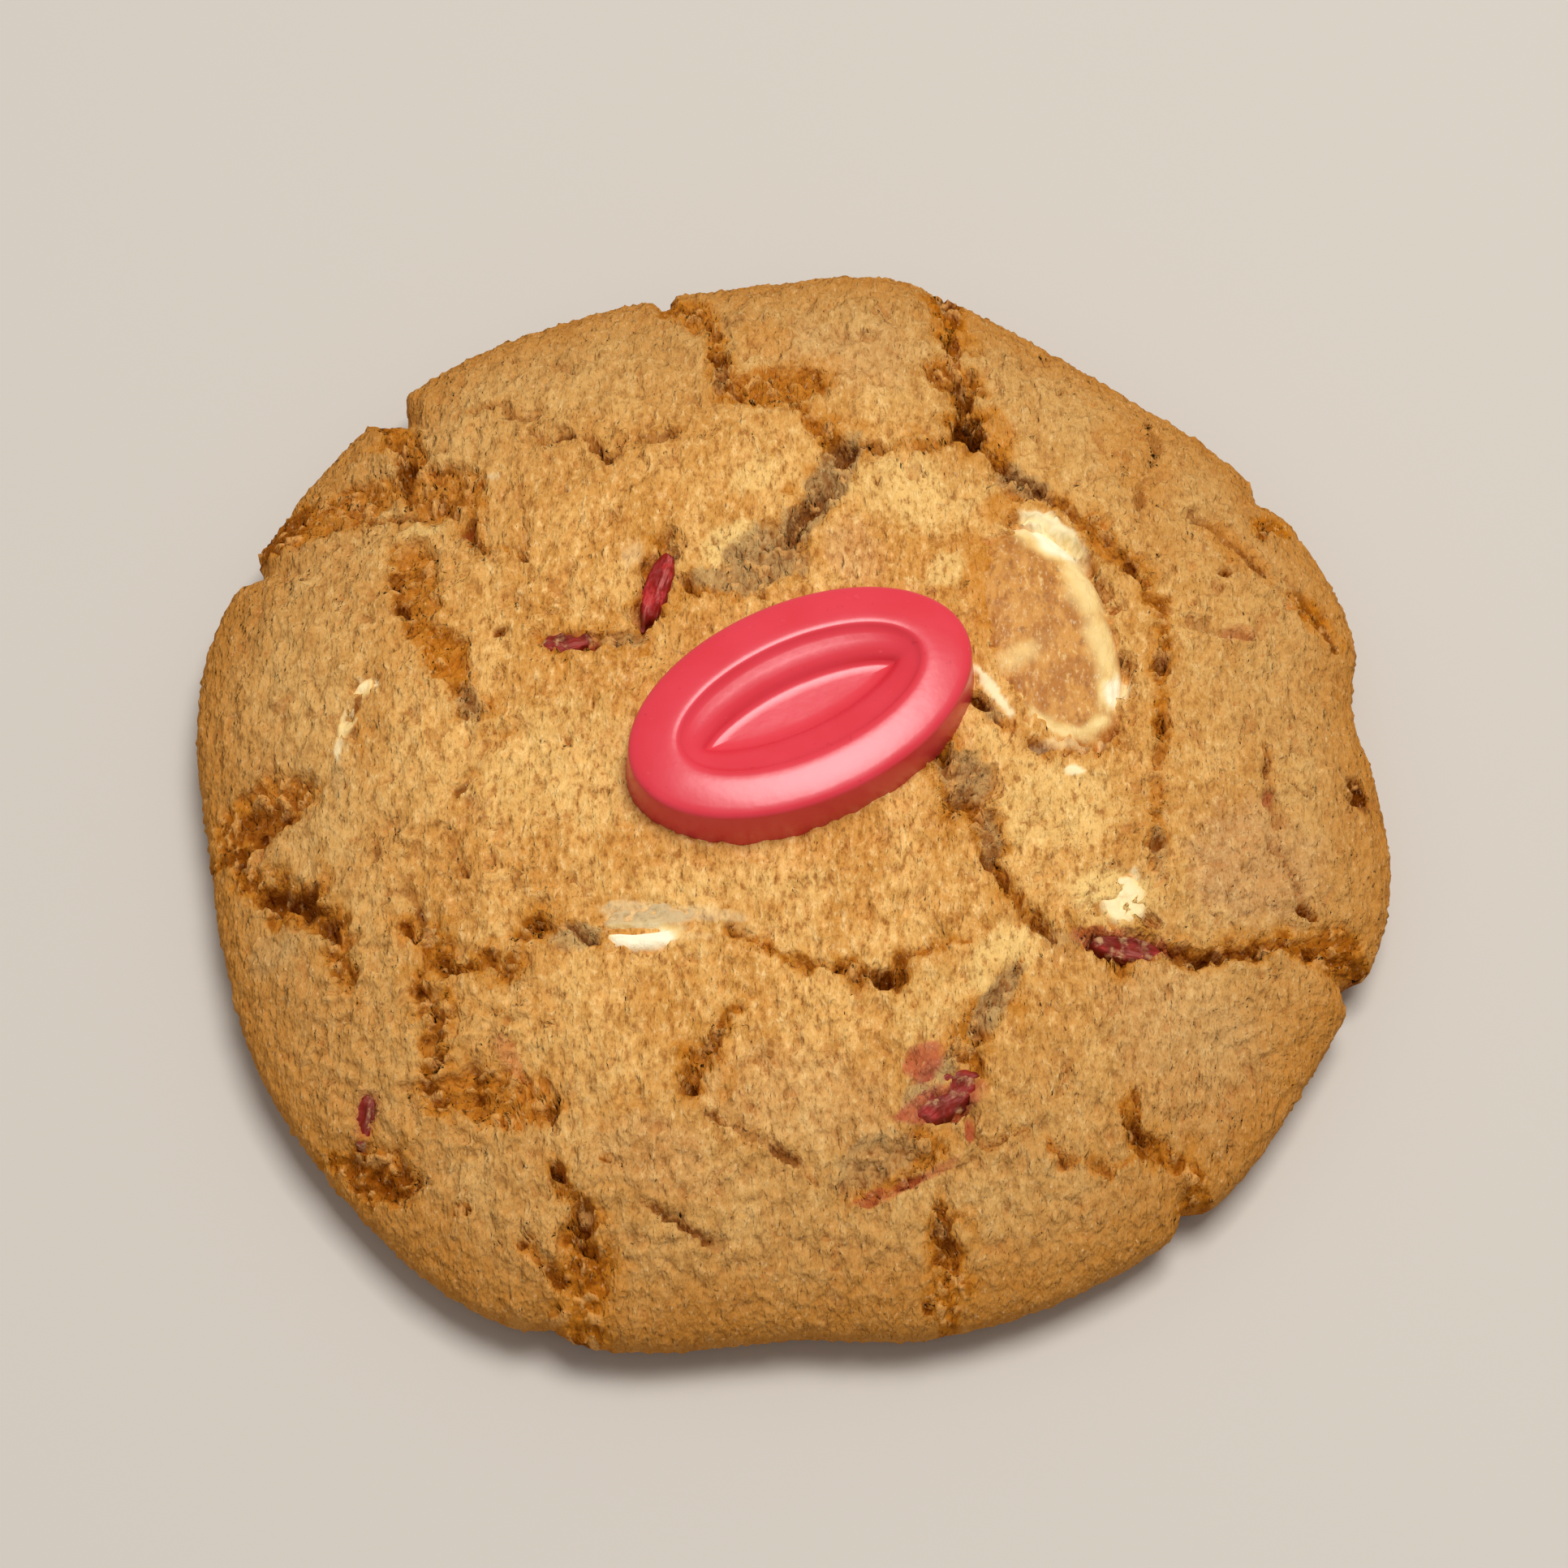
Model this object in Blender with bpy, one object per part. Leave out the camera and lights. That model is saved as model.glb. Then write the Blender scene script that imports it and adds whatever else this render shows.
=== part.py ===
"""A thick crazed strawberry cookie with one oval pink disc set in its top.

Sizes and places are millimetres, and add_piece() turns each finished mesh into metres.
The cookie lies on its flat underside, with +X to the right and +Z up. Places are counted
from the point under the dome's middle, and at the end everything moves together, so that
the origin is the centre of the whole cookie's footprint.
"""

import math

import bmesh
import bpy
from mathutils import Matrix, Vector, noise

MM = 0.001

# The dough's dome: a flat underside, a bulging rim and a low, broad top
DOME_HEIGHT = 16.3
WIDEST_HEIGHT = 5.0
DOME_FULLNESS = 2.6
SHOULDER_ROUNDNESS = 0.6
# Rings under the widest line: how far each is drawn in, and its height
UNDERCUT_RINGS = [(0.25, 3.3), (0.8, 1.5), (1.5, 0.3), (1.9, 0.0)]
# Lines of the dough's top from side to side, and how closely they gather at the rim
GRID_LINES = 42
RIM_GATHERING = 1.15
# The square's corners come to lie at this angle past the diagonals, clear of the nicks
GRID_TURN = 10.0

# The widest line seen from above: angle in degrees from +X, radius
RIM_POINTS = [
    (0, 45.7), (8, 44.7), (16, 46.5), (30, 46.3), (40, 45.5), (50, 44.4), (60, 44.4),
    (70, 45.4), (80, 46.8), (92, 45.5), (102, 45.3), (115, 45.8), (130, 46.8), (148, 46.8),
    (165, 47.4), (175, 46.6), (186, 45.3), (197, 45.4), (210, 46.5), (225, 47.2), (240, 48.2),
    (252, 47.3), (270, 44.4), (283, 45.5), (297, 46.1), (315, 46.6), (330, 46.1), (347, 47.2),
]
# Nicks where a crack runs out over the rim: angle, depth, half width in degrees
RIM_NICKS = [
    (33, 1.2, 2.6), (103.5, 2.8, 2.4), (134.5, 2.8, 2.6), (157, 1.8, 2.4), (248, 0.8, 2.6),
    (310, 1.2, 2.4), (338, 1.6, 2.4),
]
# The nicks bend only the part of the crust beyond this share of the way out
NICK_START = 0.84

# Slow unevenness of the crust: wavelength, height
SWELLS = [(17.0, 0.55), (7.0, 0.35), (3.2, 0.16)]
# A crack wanders from its route by this much, over this wavelength
WANDER = 0.7
WANDER_WAVELENGTH = 3.5
# The narrowest crack that the crust's lines can follow
NARROWEST_CRACK = 1.7
# The crust gets finer lines within this distance of a crack
REFINED_MARGIN = 1.0

# Each crack in the crust: width, depth, and the route that it takes
CRACKS = {
    "north_west_rim": (2.6, 1.5, [(-33.5, 33.5), (-31, 27.5), (-29.8, 22.5), (-25, 20.5)]),
    "west_north_west_rim": (3.2, 1.8, [(-43.5, 18.2), (-39, 21), (-36, 22.5), (-29.8, 22.5)]),
    "plate_under_north_west": (1.0, 0.7, [(-25, 20), (-24, 16.2), (-20, 15)]),
    "west_valley": (2.4, 1.7, [(-30.4, 16), (-29, 11), (-26, 6), (-24.2, 2), (-20.5, -0.6)]),
    "west_rim_upper": (3.0, 1.8, [(-46, -4), (-41, -3.3), (-36, -2.8)]),
    "west_rim_lower": (2.2, 1.6, [(-44, -4.5), (-41, -9), (-35, -12.6), (-33, -18), (-30.5, -21.3)]),
    "south_west_valley": (2.0, 1.4, [(-27, -14.5), (-25.2, -19.5), (-26.2, -24), (-25, -30)]),
    "south_west_branch": (1.2, 1.0, [(-25.2, -19), (-20.2, -19), (-18.9, -15.3), (-15, -16.5)]),
    "south_west_pit": (3.2, 2.4, [(-33.5, -31), (-31, -32.4), (-27.5, -34.5)]),
    "south_rim_left": (2.4, 1.9, [(-16.8, -33), (-15, -38), (-15.6, -41), (-15.4, -46)]),
    "south_rim_right": (1.9, 1.5, [(9.5, -35.8), (12, -37.5), (11.6, -40), (11.4, -45)]),
    "south_east_rim": (2.2, 1.8, [(25, -29.8), (26.5, -32.3), (31, -36)]),
    "east_rim": (2.2, 1.7, [(22, -16), (29.8, -17.6), (34.3, -16), (40, -15.3), (46, -16.4)]),
    "north_east_rim": (2.0, 1.7, [(12.2, 45), (13.4, 36), (14, 27.2), (18.5, 20.4)]),
    "north_east_valley": (1.6, 1.3, [(18.5, 20.4), (24, 17), (28.9, 10.8), (28.7, 2.2), (27.5, -14)]),
    "north_rim": (2.6, 1.7, [(-10.6, 45), (-9.5, 40.5), (-5.4, 38), (-5, 31.3), (0.5, 29.5)]),
    "north_valley": (2.2, 1.3, [(0.5, 29.5), (3.8, 25), (1.3, 19), (-1.5, 14.5), (-2.5, 11)]),
    "plate_edge": (1.4, 0.7, [(3.8, 25.2), (8, 24.8), (13, 26.3)]),
    "east_of_disc": (1.6, 1.2, [(12, -2), (14.7, -7.5), (15, -12), (20, -17)]),
    "south_of_star": (1.2, 1.0, [(18.5, -17), (15.5, -20.7), (13.2, -25.5)]),
    "middle_south": (1.3, 1.3, [(-5, -15.6), (3.5, -18.8), (7.4, -20.2), (9.5, -17.9), (13, -17.8)]),
    "south_diagonal": (1.2, 1.0, [(-3.8, -22.5), (-6.2, -26.5), (-9, -29.8)]),
    "west_of_disc": (1.5, 1.4, [(-23.6, 7.6), (-18, 7.2), (-11.8, 8.2), (-9.7, 15.5)]),
}
# Holes where the crust tore open: x, y, radius, depth
HOLES = [(14.0, 27.2, 1.5, 2.2), (-39.5, 20.8, 2.2, 0.9), (41.5, -14.8, 2.0, 0.8), (43.6, -2.2, 1.3, 1.0)]

# Pieces baked into the crust: x, y, half length, half width, half height, turn in degrees,
# and how far the piece's top stands over the dome around it
WHITE_PIECES = {
    "white_chunk_right": (19.8, 8.5, 10.3, 5.3, 2.4, 104, 0.6),
    "white_chip_lower": (-10.0, -16.1, 4.6, 2.0, 1.9, 6, 0.3),
    "white_chip_star": (24.9, -13.3, 2.2, 1.9, 1.8, 60, 0.4),
    "white_chip_left": (-33.2, 2.9, 2.9, 0.9, 1.4, 65, 0.2),
}
STRAWBERRY_PIECES = {
    "strawberry_upper": (-10.1, 12.0, 3.3, 1.1, 1.6, 75, 0.2),
    "strawberry_left": (-17.0, 7.3, 2.1, 1.0, 1.4, 10, -0.1),
    "strawberry_lower": (11.3, -28.7, 3.2, 1.5, 1.8, 35, 0.2),
    "strawberry_right": (25.0, -16.9, 2.8, 1.0, 1.4, -5, -0.1),
    "strawberry_south_west": (-31.4, -29.0, 2.0, 0.9, 1.4, 80, 0.1),
}
# How rough a baked-in piece is, as a share of its size, and over what wavelength
PIECE_ROUGHNESS = 0.16
PIECE_WAVELENGTH = 3.0
# A piece longer than this each way from its middle gets the finer start
LARGE_PIECE = 5.0
# A pocket is this much larger all round than what sits in it
POCKET_MARGIN = 0.4
# Corners nearer than this where a pocket meets the crust are merged
SLIVER = 0.03

# The moulded pink disc: half length, half width, thickness, sides drawn in towards the top
DISC_CENTRE = (0.86, 0.30)
DISC_TURN = 27.35
DISC_BASE_HEIGHT = 15.3
DISC_THICKNESS = 5.0
DISC_HALF_LENGTH = 14.15
DISC_HALF_WIDTH = 8.55
DISC_DRAFT = 0.5
DISC_BEVEL = 0.25
DISC_SEGMENTS = 64
# The hollow in the disc's face, with a pointed well along its middle
HOLLOW_HALF_LENGTH = 9.9
HOLLOW_HALF_WIDTH = 4.6
HOLLOW_DEPTH = 0.8
HOLLOW_EDGE = 0.3
WELL_HALF_LENGTH = 8.0
WELL_HALF_WIDTH = 2.1
WELL_DEPTH = 1.8
WELL_WALL = 0.8
WELL_POINT = 0.5

DOUGH_COLOUR = (0xC4, 0x8C, 0x4C)
WHITE_CHOCOLATE_COLOUR = (0xF2, 0xE2, 0xB8)
STRAWBERRY_COLOUR = (0xA0, 0x1C, 0x2C)
DISC_COLOUR = (0xDA, 0x44, 0x55)


def clear_scene():
    for old in list(bpy.data.objects):
        bpy.data.objects.remove(old, do_unlink=True)


def linear(channel):
    """One sRGB channel, 0 to 255, as the linear value that a shader takes."""
    share = channel / 255
    return share / 12.92 if share <= 0.04045 else ((share + 0.055) / 1.055) ** 2.4


def make_material(name, colour, roughness):
    material = bpy.data.materials.new(name)
    material.use_nodes = True
    shader = material.node_tree.nodes["Principled BSDF"]
    shader.inputs["Base Color"].default_value = (*(linear(c) for c in colour), 1.0)
    shader.inputs["Roughness"].default_value = roughness
    shader.inputs["Metallic"].default_value = 0.0
    return material


def smooth_curve(points, angle):
    """Value at an angle on a closed smooth curve through (angle, value) points."""
    count = len(points)
    angle %= 360
    index = max(i for i in range(count) if points[i][0] <= angle)
    spans = [points[(index + k) % count] for k in (-1, 0, 1, 2)]
    turns = [math.floor((index + k) / count) * 360 for k in (-1, 0, 1, 2)]
    (a0, v0), (a1, v1), (a2, v2), (a3, v3) = [(a + t, v) for (a, v), t in zip(spans, turns)]
    width = a2 - a1
    start_slope = (v2 - v0) / (a2 - a0) * width
    end_slope = (v3 - v1) / (a3 - a1) * width
    s = (angle - a1) / width
    return (
        v1 * (2 * s**3 - 3 * s**2 + 1)
        + start_slope * (s**3 - 2 * s**2 + s)
        + v2 * (3 * s**2 - 2 * s**3)
        + end_slope * (s**3 - s**2)
    )


def rim_radius(angle):
    """Radius of the widest line at an angle in degrees, with its nicks."""
    radius = smooth_curve(RIM_POINTS, angle)
    for middle, depth, half_width in RIM_NICKS:
        away = abs((angle - middle + 180) % 360 - 180) / half_width
        radius -= depth * max(0.0, 1 - away)
    return radius


def radius_at(angle, share):
    """Radius at an angle, a share of the way out, where 1 is the widest line."""
    whole = smooth_curve(RIM_POINTS, angle)
    held = NICK_START * whole
    if share <= NICK_START:
        return share * whole
    return held + (share - NICK_START) / (1 - NICK_START) * (rim_radius(angle) - held)


def share_at(x, y):
    """How far out a point lies, from 0 in the middle to 1 at the widest line."""
    angle = math.degrees(math.atan2(y, x))
    radius = math.hypot(x, y)
    whole = smooth_curve(RIM_POINTS, angle)
    held = NICK_START * whole
    if radius <= held:
        return radius / whole
    return NICK_START + (1 - NICK_START) * (radius - held) / (rim_radius(angle) - held)


def dome_height(x, y):
    """Height of the smooth dome, before cracks and swells."""
    share = min(1.0, share_at(x, y))
    fullness = (1 - share**DOME_FULLNESS) ** SHOULDER_ROUNDNESS
    return WIDEST_HEIGHT + (DOME_HEIGHT - WIDEST_HEIGHT) * fullness


def route_distance(x, y, route):
    """Shortest distance from a point to a route of straight legs."""
    nearest = math.inf
    for (ax, ay), (bx, by) in zip(route, route[1:]):
        leg_x, leg_y = bx - ax, by - ay
        along = ((x - ax) * leg_x + (y - ay) * leg_y) / (leg_x**2 + leg_y**2)
        along = min(1.0, max(0.0, along))
        nearest = min(nearest, math.hypot(x - ax - along * leg_x, y - ay - along * leg_y))
    return nearest


def wandered(x, y):
    """The point shifted by slow noise, so that straight legs become ragged cracks."""
    place = Vector((x, y, 0)) / WANDER_WAVELENGTH
    shift = noise.noise_vector(place) * WANDER
    return x + shift.x, y + shift.y


def crack_depth(x, y):
    """How far the cracks and holes sink the crust at a point."""
    x, y = wandered(x, y)
    sunk = 0.0
    for width, depth, route in CRACKS.values():
        away = route_distance(x, y, route) / (max(width, NARROWEST_CRACK) * 0.8)
        if away < 1:
            sunk = max(sunk, depth * (1 - away**2) ** 1.5)
    for hole_x, hole_y, radius, depth in HOLES:
        away = math.hypot(x - hole_x, y - hole_y) / radius
        if away < 1:
            sunk += depth * (1 - away**2)
    return sunk


def swell(x, y):
    """Slow unevenness of the crust at a point."""
    return sum(height * noise.noise(Vector((x, y, 7)) / length) for length, height in SWELLS)


def crust_height(x, y):
    """Height of the finished crust. Cracks and swells fade out on the rim's steep side."""
    hold = min(1.0, max(0.0, (1 - share_at(x, y)) * 9))
    return dome_height(x, y) + swell(x, y) * hold - crack_depth(x, y) * (0.45 + 0.55 * hold)


def polar(angle, radius, height):
    """The point at an angle in degrees, a radius and a height."""
    turn = math.radians(angle)
    return Vector((radius * math.cos(turn), radius * math.sin(turn), height))


def square_to_disc(u, v):
    """Maps the square from -1 to 1 onto the unit disc, as angle in degrees and radius."""
    if u == 0 and v == 0:
        return 0.0, 0.0
    if abs(u) >= abs(v):
        radius = abs(u)
        angle = 45 * v / u + (0 if u > 0 else 180)
    else:
        radius = abs(v)
        angle = 90 - 45 * u / v + (0 if v > 0 else 180)
    return angle + GRID_TURN, 1 - (1 - radius) ** RIM_GATHERING


def near_crack(place):
    x, y = wandered(place.x, place.y)
    return any(
        route_distance(x, y, route) < max(width, NARROWEST_CRACK) * 0.8 + REFINED_MARGIN
        for width, _, route in CRACKS.values()
    )


def dough_mesh():
    """A square grid rounded into a disc, drawn down over the rim and closed underneath."""
    bm = bmesh.new()
    bmesh.ops.create_grid(bm, x_segments=GRID_LINES, y_segments=GRID_LINES, size=1)
    for vert in bm.verts:
        angle, share = square_to_disc(vert.co.x, vert.co.y)
        vert.co = polar(angle, radius_at(angle, share), 0)
    cracked = [
        edge
        for edge in bm.edges
        if not edge.is_boundary and near_crack((edge.verts[0].co + edge.verts[1].co) / 2)
    ]
    bmesh.ops.subdivide_edges(bm, edges=cracked, cuts=1, use_grid_fill=True)
    for vert in bm.verts:
        edge_height = WIDEST_HEIGHT if vert.is_boundary else crust_height(vert.co.x, vert.co.y)
        vert.co.z = edge_height
    outline = [edge for edge in bm.edges if edge.is_boundary]
    for drawn_in, height in UNDERCUT_RINGS:
        made = bmesh.ops.extrude_edge_only(bm, edges=outline)["geom"]
        for vert in (item for item in made if isinstance(item, bmesh.types.BMVert)):
            angle = math.degrees(math.atan2(vert.co.y, vert.co.x))
            vert.co = polar(angle, rim_radius(angle) - drawn_in, height)
        outline = [item for item in made if isinstance(item, bmesh.types.BMEdge)]
    bmesh.ops.contextual_create(bm, geom=outline)
    return bm


def crust_frame(x, y):
    """Turns a piece's up direction to the dome's slope at a point."""
    step = 1.0
    slope_x = (dome_height(x + step, y) - dome_height(x - step, y)) / (2 * step)
    slope_y = (dome_height(x, y + step) - dome_height(x, y - step)) / (2 * step)
    normal = Vector((-slope_x, -slope_y, 1)).normalized()
    return Vector((0, 0, 1)).rotation_difference(normal).to_matrix().to_4x4()


def baked_piece_mesh(size, margin=0.0):
    """A rough lump that lies in the crust. The margin makes the larger one for its pocket."""
    x, y, half_length, half_width, half_height, turn, rise = size
    bm = bmesh.new()
    fineness = 3 if half_length > LARGE_PIECE else 2
    bmesh.ops.create_icosphere(bm, subdivisions=fineness, radius=1)
    half = Vector((half_length, half_width, half_height))
    for vert in bm.verts:
        way = vert.co.normalized()
        place = way * half
        rough = 1 + PIECE_ROUGHNESS * noise.noise(place / PIECE_WAVELENGTH + Vector((x, y, 0)))
        vert.co = place * rough + way * margin
    lie = Matrix.Translation((x, y, dome_height(x, y) + rise - half_height))
    lie = lie @ crust_frame(x, y) @ Matrix.Rotation(math.radians(turn), 4, "Z")
    bmesh.ops.transform(bm, matrix=lie, verts=bm.verts)
    return bm


def oval(half_length, half_width, height, pointed=0.0):
    """A ring of points round an oval, whose ends are drawn out to points as pointed grows."""
    ring = []
    for index in range(DISC_SEGMENTS):
        angle = math.tau * index / DISC_SEGMENTS
        across = half_width * math.sin(angle) * abs(math.sin(angle)) ** pointed
        ring.append(Vector((half_length * math.cos(angle), across, height)))
    return ring


def loft(rings):
    """A closed body through rings of equally many points, the lowest first."""
    bm = bmesh.new()
    loops = [[bm.verts.new(point) for point in ring] for ring in rings]
    for lower, upper in zip(loops, loops[1:]):
        for index in range(DISC_SEGMENTS):
            following = (index + 1) % DISC_SEGMENTS
            bm.faces.new((lower[index], lower[following], upper[following], upper[index]))
    bm.faces.new(reversed(loops[0]))
    bm.faces.new(loops[-1])
    return bm


def disc_rings():
    """The disc from its underside, over the rim and down into the hollow and its well."""
    length, width, top = DISC_HALF_LENGTH, DISC_HALF_WIDTH, DISC_THICKNESS
    drawn_in = DISC_DRAFT + DISC_BEVEL
    floor = top - WELL_DEPTH
    return [
        oval(length, width, 0),
        oval(length - DISC_DRAFT, width - DISC_DRAFT, top - DISC_BEVEL),
        oval(length - drawn_in, width - drawn_in, top),
        oval(HOLLOW_HALF_LENGTH, HOLLOW_HALF_WIDTH, top),
        oval(HOLLOW_HALF_LENGTH - HOLLOW_EDGE, HOLLOW_HALF_WIDTH - HOLLOW_EDGE, top - HOLLOW_EDGE),
        oval(WELL_HALF_LENGTH + WELL_WALL, WELL_HALF_WIDTH + WELL_WALL, top - HOLLOW_DEPTH, 0.2),
        oval(WELL_HALF_LENGTH, WELL_HALF_WIDTH, floor + HOLLOW_EDGE, WELL_POINT),
        oval(WELL_HALF_LENGTH - WELL_WALL, WELL_HALF_WIDTH - WELL_WALL, floor, WELL_POINT),
    ]


def pocket_rings():
    """The plain oval space that the disc sits in, open upwards."""
    length, width = DISC_HALF_LENGTH + POCKET_MARGIN, DISC_HALF_WIDTH + POCKET_MARGIN
    return [oval(length, width, -POCKET_MARGIN), oval(length, width, DISC_THICKNESS)]


def disc_mesh(rings):
    bm = loft(rings)
    lie = Matrix.Translation((*DISC_CENTRE, DISC_BASE_HEIGHT))
    lie = lie @ Matrix.Rotation(math.radians(DISC_TURN), 4, "Z")
    bmesh.ops.transform(bm, matrix=lie, verts=bm.verts)
    return bm


def add_piece(name, bm, material, collection, stand):
    """Turns a mesh into metres and gives it its object, carried by the stand."""
    bmesh.ops.triangulate(bm, faces=bm.faces, ngon_method="EAR_CLIP")
    bmesh.ops.scale(bm, vec=(MM, MM, MM), verts=bm.verts)
    mesh = bpy.data.meshes.new(name)
    bm.to_mesh(mesh)
    bm.free()
    mesh.materials.append(material)
    piece = bpy.data.objects.new(name, mesh)
    piece.parent = stand
    collection.objects.link(piece)
    return piece


def add_pocket(name, bm, material, collection, stand):
    """A cutter, which shapes the dough and isn't part of the cookie."""
    pocket = add_piece(name, bm, material, collection, stand)
    pocket.hide_render = True
    pocket.display_type = "WIRE"


def footprint_centre(piece):
    """The middle of a piece's footprint."""
    corners = [Vector(corner) for corner in piece.bound_box]
    low_x, high_x = min(c.x for c in corners), max(c.x for c in corners)
    low_y, high_y = min(c.y for c in corners), max(c.y for c in corners)
    return Vector(((low_x + high_x) / 2, (low_y + high_y) / 2, 0))


def build():
    clear_scene()
    scene_pieces = bpy.context.scene.collection
    cookie_pieces = bpy.data.collections.new("strawberry_cookie")
    pockets = bpy.data.collections.new("pockets")
    scene_pieces.children.link(cookie_pieces)
    scene_pieces.children.link(pockets)
    stand = bpy.data.objects.new("footprint", None)
    cookie_pieces.objects.link(stand)

    dough = make_material("baked_dough", DOUGH_COLOUR, 0.85)
    white_chocolate = make_material("white_chocolate", WHITE_CHOCOLATE_COLOUR, 0.5)
    strawberry = make_material("baked_strawberry", STRAWBERRY_COLOUR, 0.45)
    pink_couverture = make_material("pink_couverture", DISC_COLOUR, 0.35)

    cookie = add_piece("cookie", dough_mesh(), dough, cookie_pieces, stand)
    add_piece("strawberry_disc", disc_mesh(disc_rings()), pink_couverture, cookie_pieces, stand)
    add_pocket("disc_pocket", disc_mesh(pocket_rings()), dough, pockets, stand)
    for pieces, material in ((WHITE_PIECES, white_chocolate), (STRAWBERRY_PIECES, strawberry)):
        for name, size in pieces.items():
            add_piece(name, baked_piece_mesh(size), material, cookie_pieces, stand)
            pocket = baked_piece_mesh(size, POCKET_MARGIN)
            add_pocket(name + "_pocket", pocket, dough, pockets, stand)

    cut = cookie.modifiers.new("pockets", "BOOLEAN")
    cut.operation = "DIFFERENCE"
    cut.solver = "EXACT"
    cut.operand_type = "COLLECTION"
    cut.collection = pockets
    tidy = cookie.modifiers.new("merge_slivers", "WELD")
    tidy.merge_threshold = SLIVER * MM
    stand.location = -footprint_centre(cookie)


build()
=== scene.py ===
"""A thick baked strawberry cookie with an oval pink disc, on a plain pale surface in soft light."""

import math

import bpy
import numpy as np
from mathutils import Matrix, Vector, noise


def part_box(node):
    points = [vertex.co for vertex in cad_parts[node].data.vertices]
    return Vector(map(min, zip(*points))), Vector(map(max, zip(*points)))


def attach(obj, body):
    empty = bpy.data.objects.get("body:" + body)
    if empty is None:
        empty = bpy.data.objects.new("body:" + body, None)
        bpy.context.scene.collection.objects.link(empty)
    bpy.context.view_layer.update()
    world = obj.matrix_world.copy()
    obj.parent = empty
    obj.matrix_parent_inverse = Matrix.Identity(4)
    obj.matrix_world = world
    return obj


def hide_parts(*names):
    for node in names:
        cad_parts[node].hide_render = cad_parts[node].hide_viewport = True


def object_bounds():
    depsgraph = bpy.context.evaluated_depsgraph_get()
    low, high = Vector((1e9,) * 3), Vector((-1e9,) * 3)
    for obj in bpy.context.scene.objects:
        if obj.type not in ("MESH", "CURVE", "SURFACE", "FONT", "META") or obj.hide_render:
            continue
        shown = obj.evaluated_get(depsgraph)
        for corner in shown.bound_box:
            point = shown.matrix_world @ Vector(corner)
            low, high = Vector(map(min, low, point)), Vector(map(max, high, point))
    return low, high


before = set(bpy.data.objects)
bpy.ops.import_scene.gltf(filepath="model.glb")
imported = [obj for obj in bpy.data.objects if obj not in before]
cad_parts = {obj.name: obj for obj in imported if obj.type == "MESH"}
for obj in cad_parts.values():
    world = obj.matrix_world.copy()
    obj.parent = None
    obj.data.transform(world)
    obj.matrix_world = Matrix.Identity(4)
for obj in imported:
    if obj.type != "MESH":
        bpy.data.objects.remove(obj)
cad_low, cad_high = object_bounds()

# The baked dough, one piece: butter dough with sugar and crumb, scooped and baked on a flat tray.
# It spread into a low dome whose crust set first and then tore into plates, so the cracks show
# coarser, browner crumb, and the edge that touched the tray is tucked in under the rim.
# Places on the crust are millimetres from the point under the dome's middle, which is found from
# the disc's place in the frame.
MM = 0.001
DISC_FROM_MIDDLE = Vector((0.86, 0.30, 0.0))
disc_low, disc_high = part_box("strawberry_disc")
dome_middle = (disc_low + disc_high) / 2 / MM - DISC_FROM_MIDDLE
dome_middle.z = 0.0
DOME_HEIGHT = 16.3
WIDEST_HEIGHT = 5.0
DOME_FULLNESS = 2.6
SHOULDER_ROUNDNESS = 0.6
# Rings under the widest line: how far each is drawn in, and its height
UNDERCUT_RINGS = [(0.06, 4.3), (0.25, 3.4), (0.5, 2.4), (0.85, 1.5), (1.25, 0.7), (1.6, 0.2), (1.95, 0.0)]
DOUGH_LINES = 296
RIM_GATHERING = 1.15
GRID_TURN = 10.0
# The widest line seen from above: angle in degrees, radius
RIM_POINTS = [
    (0, 45.7), (8, 44.7), (16, 46.5), (30, 46.3), (40, 45.5), (50, 44.4), (60, 44.4),
    (70, 45.4), (80, 46.8), (92, 45.5), (102, 45.3), (115, 45.8), (130, 46.8), (148, 46.8),
    (165, 47.4), (175, 46.6), (186, 45.3), (197, 45.4), (210, 46.5), (225, 47.2), (240, 48.2),
    (252, 47.3), (270, 44.4), (283, 45.5), (297, 46.1), (315, 46.6), (330, 46.1), (347, 47.2),
]
# Nicks where a crack runs out over the rim: angle, depth, half width in degrees
RIM_NICKS = [
    (33, 1.2, 2.6), (103.5, 1.1, 1.6), (134.5, 2.8, 2.6), (157, 1.8, 2.4), (248, 0.8, 2.6),
    (310, 1.2, 2.4), (338, 1.6, 2.4),
]
NICK_START = 0.84
# Slow unevenness of the crust, which the baked-in pieces follow, and its lumps: wavelength, height
SWELLS = [(17.0, 0.55), (7.0, 0.35), (3.2, 0.16)]
LUMPS = [(3.6, 0.3), (1.8, 0.4), (0.95, 0.26)]
# How the cracks wander from their routes: wavelength, reach
WANDERS = [(3.5, 0.35), (1.4, 0.45), (0.65, 0.34)]

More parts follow.
